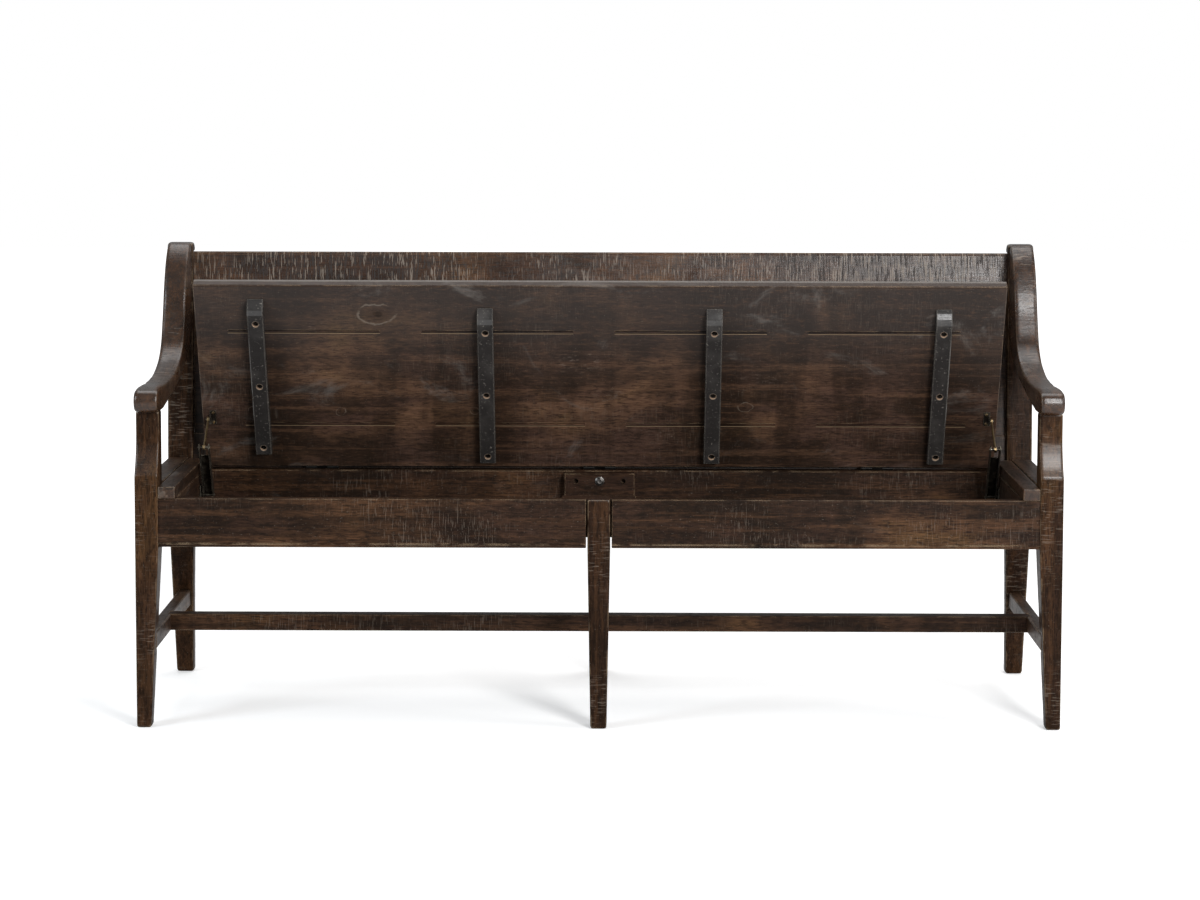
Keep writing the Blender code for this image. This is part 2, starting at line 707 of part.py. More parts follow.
def seat_lid():
    low = (-LID_HALF, -LID_BACK - LID_DEPTH, LID_UNDER)
    high = (LID_HALF, -LID_BACK, LID_UNDER + LID_THICK)
    lid = block("seat_lid", low, high, STAINED_WOOD, EASE, 2, parent=LID_AXIS)
    span = 2 * (LID_HALF - KERF_MARGIN)
    kerf_length = (span - (KERF_COUNT - 1) * KERF_SPACE) / KERF_COUNT
    for row, back in enumerate(KERF_ROWS):
        for number in range(KERF_COUNT):
            start = -span / 2 + number * (kerf_length + KERF_SPACE) + (0.5 - row) * KERF_SHIFT
            slot_low = (start, -LID_BACK - back - KERF_WIDTH / 2, LID_UNDER - KERF_DEPTH)
            slot_high = (start + kerf_length, -LID_BACK - back + KERF_WIDTH / 2, LID_UNDER + KERF_DEPTH)
            tool = block(f"saw_cut_{row}_{number}", slot_low, slot_high, parent=LID_AXIS, group=CUTTERS)
            cut(lid, tool)
    for number, x in enumerate(hinge_places(), 1):
        let_in(lid, f"lid_mortise_{number}", *lid_leaf_span(x), parent=LID_AXIS)


def battens():
    # Crosswise battens under the lid, each with a sawn round toe and three deep screw holes
    top = LID_UNDER - GAP
    foot = top - BATTEN_THICK
    first = BATTEN_INSET + BATTEN_WIDTH / 2 - LID_HALF
    pitch = -2 * first / (BATTEN_COUNT - 1)
    for number in range(BATTEN_COUNT):
        x = first + pitch * number
        shift = FIRST_BATTEN_SHIFT if number == 0 else 0.0
        back = -LID_BACK - BATTEN_BACK - shift
        front = back - BATTEN_LENGTH
        knots = [
            (back, top, "corner"),
            (front, top, "corner"),
            (front, top - BATTEN_TIP, "corner"),
            (front + BATTEN_TOE * 0.28, foot + BATTEN_THICK * 0.42, "smooth"),
            (front + BATTEN_TOE * 0.62, foot + BATTEN_THICK * 0.11, "smooth"),
            (front + BATTEN_TOE, foot, "corner"),
            (back, foot, "corner"),
        ]
        half = BATTEN_WIDTH / 2
        strip = outline(
            f"lid_batten_{number + 1}", knots, x - half, x + half, BLACK_BATTEN, 4, parent=LID_AXIS
        )
        smooth_rounds(strip)
        ease_edges(strip, EASE, 1)
        near = back - SCREW_MARGIN
        far = front + BATTEN_TOE + SCREW_MARGIN * 1.2
        for place_number, y in enumerate((near, (near + far) / 2, far)):
            mark = f"{number}_{place_number}"
            hole = rod(
                f"batten_hole_{mark}", (x, y, foot), "Z", SCREW_HOLE, SCREW_HOLE_DEPTH * 2,
                parent=LID_AXIS, group=CUTTERS,
            )
            cut(strip, hole)


seat_lid()
battens()


# Butt hinges: a leaf in the back apron, a leaf in the edge of the lid, and a pin

def knuckle_tube(name, x, length, parent, centre):
    return rod(name, (x, *centre), "X", KNUCKLE, length, sides=20, parent=parent, group=CUTTERS)


def hinges():
    third = HINGE_LENGTH / 3
    axis_y = depth(HINGE_AXIS_DEPTH)
    axis = (axis_y, HINGE_HEIGHT)
    for number, x in enumerate(hinge_places(), 1):
        fixed = block(f"hinge_leaf_{number}_fixed", *fixed_leaf_span(x), BLACK_STEEL)
        moving = block(f"hinge_leaf_{number}_lid", *lid_leaf_span(x), BLACK_STEEL, parent=LID_AXIS)
        half = HINGE_LENGTH / 2 - 2 * LAP
        web_low = (x - half, axis_y + LAP, APRON_TOP - HINGE_METAL / 2)
        web_high = (x + half, axis_y + KNUCKLE / 2 - LAP, HINGE_HEIGHT)
        add(fixed, block(f"fixed_web_{number}", web_low, web_high, group=CUTTERS))
        tongue_low = (x - third / 2 + GAP, -LID_BACK - HINGE_METAL / 2, LID_UNDER)
        tongue_high = (x + third / 2 - GAP, 0.0, LID_UNDER + HINGE_METAL)
        add(moving, block(
            f"lid_tongue_{number}", tongue_low, tongue_high, parent=LID_AXIS, group=CUTTERS,
        ))
        for end in (-1, 1):
            middle = x + end * (third - LAP)
            add(fixed, knuckle_tube(f"fixed_knuckle_{number}_{end + 1}", middle, third, None, axis))
        add(moving, knuckle_tube(f"lid_knuckle_{number}", x, third - 2 * GAP, LID_AXIS, (0.0, 0.0)))
        room_low = (x - third / 2, axis_y - KNUCKLE, APRON_TOP - GAP)
        room_high = (x + third / 2, axis_y + KNUCKLE / 2 + GAP, HINGE_HEIGHT + KNUCKLE)
        cut(fixed, block(f"fixed_room_{number}", room_low, room_high, group=CUTTERS))
        bore = rod(
            f"hinge_bore_{number}", (x, *axis), "X", HINGE_PIN + 2 * PIN_CLEARANCE,
            HINGE_LENGTH + 0.004, group=CUTTERS,
        )
        cut(fixed, bore)
        cut(moving, bore)
        rod(f"hinge_pin_{number}", (x, *axis), "X", HINGE_PIN, HINGE_LENGTH + 0.002, BLACK_STEEL)


hinges()


# Lid stays: base on the box side, channel arm, rod and bracket under the lid

def stays():
    axis_y = depth(HINGE_AXIS_DEPTH)
    foot_y = axis_y - STAY_LINK_RUN
    foot_z = HINGE_HEIGHT - STAY_LINK_DROP
    hole = STAY_PIN + 2 * GAP
    for side, word in ((-1, "left"), (1, "right")):
        plane = side * STAY_PLANE
        inner = STRIP_INNER - GAP

        def span(start, end):
            return sorted((side * start, side * end))

        across = span(inner, inner - STAY_PLATE)
        low = (across[0], foot_y - BASE_LENGTH / 2, BOTTOM_TOP + GAP * 2)
        high = (across[1], foot_y + BASE_LENGTH / 2 - 0.006, BOTTOM_TOP + BASE_HEIGHT)
        base = block(f"stay_base_{word}", low, high, BLACK_STEEL, 0.0006, 1)
        pin_outer = inner - STAY_PLATE / 2
        pin_inner = STAY_PLANE - CHANNEL_WIDTH / 2 - 0.0015
        across = span(pin_outer, pin_inner)
        pin = rod(
            f"stay_base_pin_{word}", ((across[0] + across[1]) / 2, foot_y, foot_z), "X",
            STAY_PIN, across[1] - across[0], sides=14, group=CUTTERS,
        )
        add(base, pin)
        across = span(inner - STAY_PLATE / 2, STAY_PLANE + CHANNEL_WIDTH / 2 + GAP)
        add(base, rod(
            f"stay_collar_{word}", ((across[0] + across[1]) / 2, foot_y, foot_z), "X",
            STAY_COLLAR, across[1] - across[0], sides=14, group=CUTTERS,
        ))

        arm_pivot = pivot(f"stay_arm_axis_{word}", (plane, foot_y, foot_z), -OPEN_ANGLE)
        turn = atan2(STAY_DROP, STAY_ARM)
        reach = (STAY_ARM ** 2 + STAY_DROP ** 2) ** 0.5
        arm_axis = pivot(f"stay_arm_line_{word}", (0.0, 0.0, 0.0), turn, parent=arm_pivot)
        half = CHANNEL_HEIGHT / 2
        body = block(
            f"stay_arm_{word}", (-CHANNEL_WIDTH / 2, -reach, -half), (CHANNEL_WIDTH / 2, 0.0, half),
            BLACK_STEEL, parent=arm_axis,
        )
        for end, y in (("foot", 0.0), ("elbow", -reach)):
            add(body, rod(
                f"stay_{end}_round_{word}", (0.0, y, 0.0), "X", CHANNEL_HEIGHT, CHANNEL_WIDTH,
                sides=20, parent=arm_axis, group=CUTTERS,
            ))
        room = CHANNEL_WIDTH / 2 - CHANNEL_METAL
        cut(body, block(
            f"stay_channel_room_{word}", (-room, -reach - CHANNEL_HEIGHT, -half - 0.004),
            (room, CHANNEL_HEIGHT, half - CHANNEL_METAL), parent=arm_axis, group=CUTTERS,
        ))
        cut(body, block(
            f"stay_elbow_room_{word}", (-room, -reach - CHANNEL_HEIGHT, -half - 0.004),
            (room, -reach + LINK_EYE * 2.2, half + 0.004), parent=arm_axis, group=CUTTERS,
        ))
        cut(body, rod(
            f"stay_foot_hole_{word}", (0.0, 0.0, 0.0), "X", hole, CHANNEL_WIDTH * 2,
            sides=14, parent=arm_axis, group=CUTTERS,
        ))
        add(body, rod(
            f"stay_elbow_pin_{word}", (0.0, -reach, 0.0), "X", STAY_PIN, CHANNEL_WIDTH + 0.003,
            sides=14, parent=arm_axis, group=CUTTERS,
        ))

        elbow = pivot(
            f"stay_elbow_axis_{word}", (0.0, -STAY_ARM, -STAY_DROP), OPEN_ANGLE, parent=arm_pivot
        )
        link_turn = atan2(STAY_LINK_DROP, STAY_LINK_RUN)
        link_axis = pivot(f"stay_link_line_{word}", (0.0, 0.0, 0.0), link_turn, parent=elbow)
        length = (STAY_LINK_RUN ** 2 + STAY_LINK_DROP ** 2) ** 0.5
        link = rod(
            f"stay_rod_{word}", (0.0, length / 2, 0.0), "Y", LINK_WIDTH, length,
            BRASSED_STEEL, 12, parent=link_axis,
        )
        for end, y in (("low", 0.0), ("high", length)):
            add(link, rod(
                f"stay_eye_{end}_{word}", (0.0, y, 0.0), "X", LINK_EYE, LINK_THICK,
                sides=20, parent=link_axis, group=CUTTERS,
            ))
        for end, y in (("low", 0.0), ("high", length)):
            cut(link, rod(
                f"stay_eye_hole_{end}_{word}", (0.0, y, 0.0), "X", hole, LINK_THICK * 3,
                sides=14, parent=link_axis, group=CUTTERS,
            ))

        under = LID_UNDER - GAP
        ear_outer = STAY_PLANE - LINK_THICK / 2 - GAP
        across = span(ear_outer, ear_outer - STAY_PLATE)
        ear = block(
            f"stay_bracket_{word}", (across[0], -STAY_ARM - EAR_SIZE / 2, -STAY_DROP - EAR_SIZE / 2),
            (across[1], -STAY_ARM + EAR_SIZE / 2, under), BLACK_STEEL, parent=LID_AXIS,
        )
        across = span(ear_outer, ear_outer - BRACKET_WIDTH)
        add(ear, block(
            f"stay_bracket_foot_{word}",
            (across[0], -STAY_ARM - BRACKET_LENGTH / 2, under - STAY_PLATE),
            (across[1], -STAY_ARM + BRACKET_LENGTH / 2, under), parent=LID_AXIS, group=CUTTERS,
        ))
        across = span(ear_outer - STAY_PLATE / 2, STAY_PLANE + LINK_THICK / 2 + 0.002)
        add(ear, rod(
            f"stay_bracket_pin_{word}", ((across[0] + across[1]) / 2, -STAY_ARM, -STAY_DROP), "X",
            STAY_PIN, across[1] - across[0], sides=14, parent=LID_AXIS, group=CUTTERS,
        ))


stays()
bpy.context.view_layer.update()
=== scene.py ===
import bpy
import bmesh
import numpy as np
from math import cos, pi, radians, sin
from mathutils import Matrix, Vector


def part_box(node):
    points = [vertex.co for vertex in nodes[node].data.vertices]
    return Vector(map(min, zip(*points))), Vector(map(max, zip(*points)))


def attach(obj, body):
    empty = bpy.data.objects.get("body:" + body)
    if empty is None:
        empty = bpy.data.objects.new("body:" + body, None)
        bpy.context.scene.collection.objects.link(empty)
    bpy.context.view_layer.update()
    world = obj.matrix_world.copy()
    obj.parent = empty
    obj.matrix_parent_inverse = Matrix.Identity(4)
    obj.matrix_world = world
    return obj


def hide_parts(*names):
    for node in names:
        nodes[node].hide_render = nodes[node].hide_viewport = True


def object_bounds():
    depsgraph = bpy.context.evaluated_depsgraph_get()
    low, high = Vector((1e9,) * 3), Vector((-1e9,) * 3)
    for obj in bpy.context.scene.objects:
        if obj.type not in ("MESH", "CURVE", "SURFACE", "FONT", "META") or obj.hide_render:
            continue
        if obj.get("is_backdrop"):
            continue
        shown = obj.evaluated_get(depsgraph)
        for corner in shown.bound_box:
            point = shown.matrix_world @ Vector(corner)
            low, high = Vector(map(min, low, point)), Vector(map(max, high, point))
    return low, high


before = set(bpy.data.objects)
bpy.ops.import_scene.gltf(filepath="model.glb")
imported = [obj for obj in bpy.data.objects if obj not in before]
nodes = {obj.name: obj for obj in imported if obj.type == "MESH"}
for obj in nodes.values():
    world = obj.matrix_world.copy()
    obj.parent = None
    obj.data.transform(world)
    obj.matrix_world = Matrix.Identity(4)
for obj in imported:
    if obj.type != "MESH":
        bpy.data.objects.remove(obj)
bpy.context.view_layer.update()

scene = bpy.context.scene
print("bench: frame loaded,", len(nodes), "nodes")


def hexColour(text):
    # sRGB hex to linear
    parts = [int(text[i:i + 2], 16) / 255 for i in (1, 3, 5)]
    linear = [p / 12.92 if p <= 0.04045 else ((p + 0.055) / 1.055) ** 2.4 for p in parts]
    return (*linear, 1.0)


def addNode(tree, kind, settings=None, inputs=None):
    # One node with its settings; an input is a number, a colour or another node's socket
    node = tree.nodes.new(kind)
    for key, value in (settings or {}).items():
        setattr(node, key, value)
    for key, value in (inputs or {}).items():
        if isinstance(value, bpy.types.NodeSocket):
            tree.links.new(value, node.inputs[key])
        else:
            node.inputs[key].default_value = value
    return node


def edgeTurning(tree, radius):
    # 1 on a flat face, less within this radius of an edge: the rounded normal leaves the true one
    rounded = addNode(tree, "ShaderNodeBevel", {"samples": 4}, {"Radius": radius}).outputs[0]
    true = addNode(tree, "ShaderNodeNewGeometry").outputs["True Normal"]
    return addNode(tree, "ShaderNodeVectorMath", {"operation": "DOT_PRODUCT"}, {
        0: rounded, 1: true}).outputs["Value"]


def layColours(tree, colour, layers):
    # Over the first colour: a pattern, where it starts and where it is full, its share, its colour
    for source, low, high, share, paint in layers:
        amount = addNode(tree, "ShaderNodeMapRange", {"interpolation_type": "SMOOTHSTEP"}, {
            0: source, 1: low, 2: high, 3: 0.0, 4: share}).outputs[0]
        colour = addNode(tree, "ShaderNodeMix", {"data_type": "RGBA"}, {
            0: amount, 6: colour, 7: paint}).outputs[2]
    return colour


def link(name, data):
    piece = bpy.data.objects.new(name, data)
    scene.collection.objects.link(piece)
    return piece


# Lid frame: x across, then along from the hinge pins towards the back, then up, with the lid shut
lidSet = {
    "openAngle": 64.3,
    "hinge": (0.0, 0.1525, 0.4290),
    "under": -0.0035,
    "front": -0.410,
    "firstBatten": -0.6550,
    "battenPitch": 0.4367,
}
lidTurn = Matrix.Rotation(-radians(lidSet["openAngle"]), 4, "X")


def onLid(x, along, up):
    return lidTurn @ Vector((x, along, up)) + Vector(lidSet["hinge"])


# Pine, planed, sawn here and there, stained espresso and lacquered thin. The stain goes in blotches,
# the saw leaves short strokes across the grain, and the raw wood comes through along the edges.
pineSet = {
    # the stain, from its darkest pores to its palest patches
    "deep": "#1c120b",
    "dark": "#2f2118",
    "mid": "#49342a",
    "warm": "#70503a",
    "gold": "#80603f",
    # over it: a painted grey sheen, haze and scuffs, saw strokes, bare wood, the hearts of knots and
    # the painted shade inside saw cuts
    # the grey of a painted sheen: a reflection painted towards the lid's front edge
    "paintedSheen": "#2f2a28",
    "grey": "#8a8580",
    "scratch": "#8f8376",
    "worn": "#a38b6f",
    # near black: the hearts of knots, and the painted shade inside the saw cuts
    "knotHeartAndKerfShade": "#150d08",
    "fineGrain": 0.0013,    # metres between the finest dark pores, coarser than real so that they show
    "grain": 0.0050,        # between the dark lines of the grain
    "blotch": 0.075,        # across one blotch of stain
    "mottle": 0.0028,       # across one fleck of the lacquer
    "tickLong": 0.0130,     # a saw stroke
    "tickWide": 0.0011,
    "tickScale": 130.0,     # noise cells in a metre, before they are squeezed to a stroke's size
    "edge": 0.0019,         # how far in an edge is rubbed
    "topHighlight": (0.0062, 0.0050, 0.0036, 0.0026),    # below the top: a painted highlight along the rounded edge starts and ends
    "topHighlightShare": 0.40,      # how much of its gold shows
    "ior": 1.48,
    "glossLess": 0.05,      # how far the haze moves the roughness, down and up
    "glossMore": 0.12,
    "coatFrom": 0.04,       # lacquer pooled where a face looks up: none at this upward normal,
    "coatTo": 0.60,         # and all of it at this one
    "coatRoughness": 0.27,
}
pineCuts = {
    # grain: the axis that it runs along. tone: how light the stain came out in red, green and blue.
    # spread: how much wider the saw strokes are strewn. The top line: the height of a rounded top edge
    # with a painted highlight.
    # gloss: the roughness of the lacquer. The rest are shares.
    # To the eye: the lid is greyed and cloudy, with a painted grey sheen towards its front edge, and
    # hardly shines
    "lid": {"grain": "X", "tone": (1.00, 1.06, 1.14), "ticks": 0.06, "blotches": 1.0, "worn": 0.6,
            "grey": 0.24, "lines": 0.40, "drift": 0.65, "gloss": 0.44, "shine": 0.22},
    # the crest is glossy, and full of saw strokes
    "rail": {"grain": "X", "tone": (0.70, 0.65, 0.58), "ticks": 0.50, "blotches": 0.8, "worn": 1.0,
             "grey": 0.15, "lines": 0.35, "drift": 0.3, "gloss": 0.23, "shine": 0.50, "spread": 0.10,
             "topHighlight": 0.8683},
    # aprons and stretchers are dark and matte, with clear dark lines
    "apron": {"grain": "X", "tone": (0.48, 0.46, 0.42), "ticks": 0.16, "blotches": 1.0, "worn": 0.6,
              "grey": 0.06, "lines": 0.65, "drift": 0.4, "gloss": 0.40, "shine": 0.08},
    # legs and posts are the darkest, with a sheen only where they face up
    "leg": {"grain": "Z", "tone": (0.44, 0.415, 0.355), "ticks": 0.24, "blotches": 0.8, "worn": 0.35,
            "grey": 0.06, "lines": 0.5, "drift": 0.3, "gloss": 0.30, "shine": 0.05, "coat": 0.9},
    # arms are dark, and shine most
    "arm": {"grain": "Y", "tone": (0.48, 0.42, 0.33), "ticks": 0.34, "blotches": 0.8, "worn": 0.12,
            "grey": 0.08, "lines": 0.8, "drift": 0.3, "gloss": 0.25, "shine": 0.48, "coat": 0.20},
    # boards that run from front to back are greyed by wear
    "side": {"grain": "Y", "tone": (0.54, 0.52, 0.47), "ticks": 0.26, "blotches": 0.9, "worn": 0.7,
             "grey": 0.20, "lines": 0.6, "drift": 0.3, "gloss": 0.38, "shine": 0.30},
    # the back is plain and even
    "panel": {"grain": "X", "tone": (0.52, 0.50, 0.46), "ticks": 0.05, "blotches": 1.0, "worn": 0.6,
              "grey": 0.06, "lines": 0.6, "drift": 0.4, "gloss": 0.36, "shine": 0.30},
    # inside the box the stain is thin and dull
    "box": {"grain": "X", "tone": (0.60, 0.60, 0.58), "ticks": 0.08, "blotches": 0.9, "worn": 0.5,
            "grey": 0.00, "lines": 0.6, "drift": 0.3, "gloss": 0.52, "shine": 0.20},
}
lidMarks = {
    # x, along, half length and half width of the ring round each knot
    "knots": ((-0.425, -0.350, 0.034, 0.022), (0.282, -0.144, 0.013, 0.010),
              (-0.502, -0.130, 0.009, 0.008), (-0.243, -0.133, 0.011, 0.008),
              (-0.668, -0.134, 0.012, 0.010)),
    # the same of each scuff that dulled the lacquer
    "scuffs": ((0.315, -0.205, 0.055, 0.016), (-0.040, -0.245, 0.060, 0.030),
               (0.110, -0.085, 0.050, 0.030), (-0.545, -0.325, 0.026, 0.014),
               (0.020, -0.165, 0.040, 0.024)),
    "bend": (0.022, 0.014, 0.0),    # how far a ring or scuff strays from its oval
    "bendScale": 45.0,
    "paintedSheenFrom": -0.11,     # a painted grey sheen, a reflection painted on the lid, from here to the front edge
    "paintedSheenTo": -0.29,
    "paintedSheenRagged": 0.12,
    "kerfRows": ((-0.1000, 0.011), (-0.3090, -0.011)),  # along, and how far the row is shifted in x
    "kerfPitch": 0.370,
    "kerfHalf": 0.1450,
    "kerfWide": 0.0030,
    "kerfLip": 0.0014,      # the pale lower lip of a saw cut, from the middle of the cut
    "kerfLipWide": 0.0008,
    "kerfClear": (0.003, 0.006),    # no other rubbed edge this near to a cut
    "shadeShift": 0.012,    # painted shade beside each batten, shifted to its right, where its shadow falls
    "shadeOuter": 0.090,
    "shadeInner": 0.020,
    "joints": ((-0.1900, 0.45), (-0.3050, 0.22)),   # where a board meets the next, and its darkness
    "jointWide": 0.0012,
    "underDeep": (0.0080, 0.0070),  # marks of the underside stop this far above it
    "edgeDeep": (0.0010, 0.0002),   # the front edge ends this far behind the front
    "edgeTop": (0.0125, 0.0150),    # its pale upper line, wear and a painted sheen, starts this far above the underside
}


def markLid(tree, place, drawn, bands, products):
    # Adds the lid's own marks, its painted shade and its painted sheen to the three tables, in the
    # lid's frame,
    # and gives back their layers of colour: those under the stain, the painted shade over the stain,
    # over the grain, and over all the wear
    shift = -(lidTurn.inverted() @ Vector(lidSet["hinge"]))
    flat = addNode(tree, "ShaderNodeMapping", None, {
        0: place, 1: tuple(shift), 2: (radians(lidSet["openAngle"]), 0, 0)}).outputs[0]
    parts = addNode(tree, "ShaderNodeSeparateXYZ", None, {0: flat}).outputs
    drawn["along"] = parts["Y"]
    drawn["up"] = parts["Z"]
    low, high = (lidSet["under"] + depth for depth in lidMarks["underDeep"])
    bands["below"] = ("up", low, high, 1.0)

    # Knots and scuffs: ragged ovals
    stray = addNode(tree, "ShaderNodeTexNoise", None, {
        "Vector": flat, "Scale": lidMarks["bendScale"], "Detail": 3.0}).outputs["Color"]
    bent = addNode(tree, "ShaderNodeVectorMath", {"operation": "MULTIPLY_ADD"}, {
        0: stray, 1: lidMarks["bend"], 2: flat}).outputs[0]
    meanX, meanAlong = (reach / 2 for reach in lidMarks["bend"][:2])
    for key, ragged in (("knots", 0.35), ("scuffs", 1.5)):
        nearest = None
        for x, near, longHalf, wideHalf in lidMarks[key]:
            offset = addNode(tree, "ShaderNodeMapping", None, {
                0: bent, 1: (-(x + meanX) / longHalf, -(near + meanAlong) / wideHalf, 0),
                3: (1 / longHalf, 1 / wideHalf, 0)}).outputs[0]
            away = addNode(tree, "ShaderNodeVectorMath", {"operation": "LENGTH"}, {
                0: offset}).outputs["Value"]
            nearest = away if nearest is None else addNode(
                tree, "ShaderNodeMath", {"operation": "MINIMUM"}, {0: nearest, 1: away}).outputs[0]
        drawn[key] = addNode(tree, "ShaderNodeMath", {"operation": "MULTIPLY_ADD"}, {
            0: drawn["rubPlace"], 1: ragged, 2: nearest}).outputs[0]
    bands["knotRing"] = ("knots", 1.08, 1.17, 0.30)
    bands["knotRingEnd"] = ("knots", 1.32, 1.20, 1.0)
    bands["knotIn"] = ("knots", 1.20, 0.60, 0.45)
    bands["knotHeart"] = ("knots", 0.55, 0.35, 0.6)
    bands["scuffs"] = ("scuffs", 1.85, 1.15, 1.0)
    products += [("knotRing", "knotRingEnd"), ("knotRing", "rubPlace"),
                 ("scuffs", "mottleLight"), ("scuffs", "below")]

    # How far x is from the middle of the nearest saw cut in each row, and from the nearest batten
    spans = {f"end{i}": (moved + lidMarks["kerfPitch"] / 2, lidMarks["kerfPitch"])
             for i, (row, moved) in enumerate(lidMarks["kerfRows"])}
    spans["shade"] = (lidSet["firstBatten"] + lidMarks["shadeShift"], lidSet["battenPitch"])
    for key, (first, pitch) in spans.items():
        past = addNode(tree, "ShaderNodeMath", {"operation": "SUBTRACT"}, {
            0: parts["X"], 1: first}).outputs[0]
        past = addNode(tree, "ShaderNodeMath", {"operation": "WRAP"}, {
            0: past, 1: pitch / 2, 2: -pitch / 2}).outputs[0]
        drawn[key] = addNode(tree, "ShaderNodeMath", {"operation": "ABSOLUTE"}, {0: past}).outputs[0]
    # painted shade beside the battens, where their shadows fall, on the underside only
    bands["shade"] = ("shade", lidMarks["shadeOuter"], lidMarks["shadeInner"], 0.75)
    products.append(("shade", "below"))

    # Saw cuts: a dark line of painted shade inside each cut, with a pale lower lip
    cuts = []
    for i, (row, moved) in enumerate(lidMarks["kerfRows"]):
        bands[f"end{i}"] = (f"end{i}", lidMarks["kerfHalf"] + 0.001, lidMarks["kerfHalf"], 1.0)
        for key, middle, wide, narrow, share, paint in (
                (f"saw{i}", row, 0.45 * lidMarks["kerfWide"],
                 0.25 * lidMarks["kerfWide"], 0.9, "knotHeartAndKerfShade"),
                (f"lip{i}", row + lidMarks["kerfLip"], lidMarks["kerfLipWide"],
                 0.4 * lidMarks["kerfLipWide"], 0.55, "worn")):
            past = addNode(tree, "ShaderNodeMath", {"operation": "SUBTRACT"}, {
                0: parts["Y"], 1: middle}).outputs[0]
            drawn[key] = addNode(tree, "ShaderNodeMath", {"operation": "ABSOLUTE"}, {
                0: past}).outputs[0]
            bands[key] = (key, wide, narrow, share)
            products += [(key, f"end{i}"), (key, "below")]
            cuts.append((key, paint))
        bands[f"clear{i}"] = (f"saw{i}", *lidMarks["kerfClear"], 1.0)
        products.append(("edge", f"clear{i}"))

    # Joints of the boards, a painted grey sheen towards the front, and the front edge with a pale line
    # along its top that is wear and a painted sheen
    joints = []
    for i, (joint, share) in enumerate(lidMarks["joints"]):
        bands[f"joint{i}"] = ("along", joint, joint - lidMarks["jointWide"], share)
        joints.insert(0, (f"joint{i}", "dark"))
    # the greyer front: a painted reflection, ragged by the blotches
    drawn["front"] = addNode(tree, "ShaderNodeMath", {"operation": "MULTIPLY_ADD"}, {
        0: drawn["blotch"], 1: lidMarks["paintedSheenRagged"], 2: parts["Y"]}).outputs[0]
    bands["front"] = ("front", lidMarks["paintedSheenFrom"], lidMarks["paintedSheenTo"], 0.68)
    bands["frontEdge"] = ("along", *(lidSet["front"] + depth for depth in lidMarks["edgeDeep"]), 0.80)
    # a pale line along the top of the front edge: wear, and a painted sheen where the light from above
    # falls
    bands["frontTop"] = ("up", *(lidSet["under"] + height for height in lidMarks["edgeTop"]), 0.45)
    products.append(("frontTop", "frontEdge"))
    stains = [("front", "paintedSheen"), ("knotIn", "dark"), ("knotHeart", "knotHeartAndKerfShade"), ("knotRing", "scratch"),
              ("scuffs", "grey"), ("frontEdge", "dark"), ("frontTop", "grey")]
    return joints, [("shade", "deep")], stains, cuts


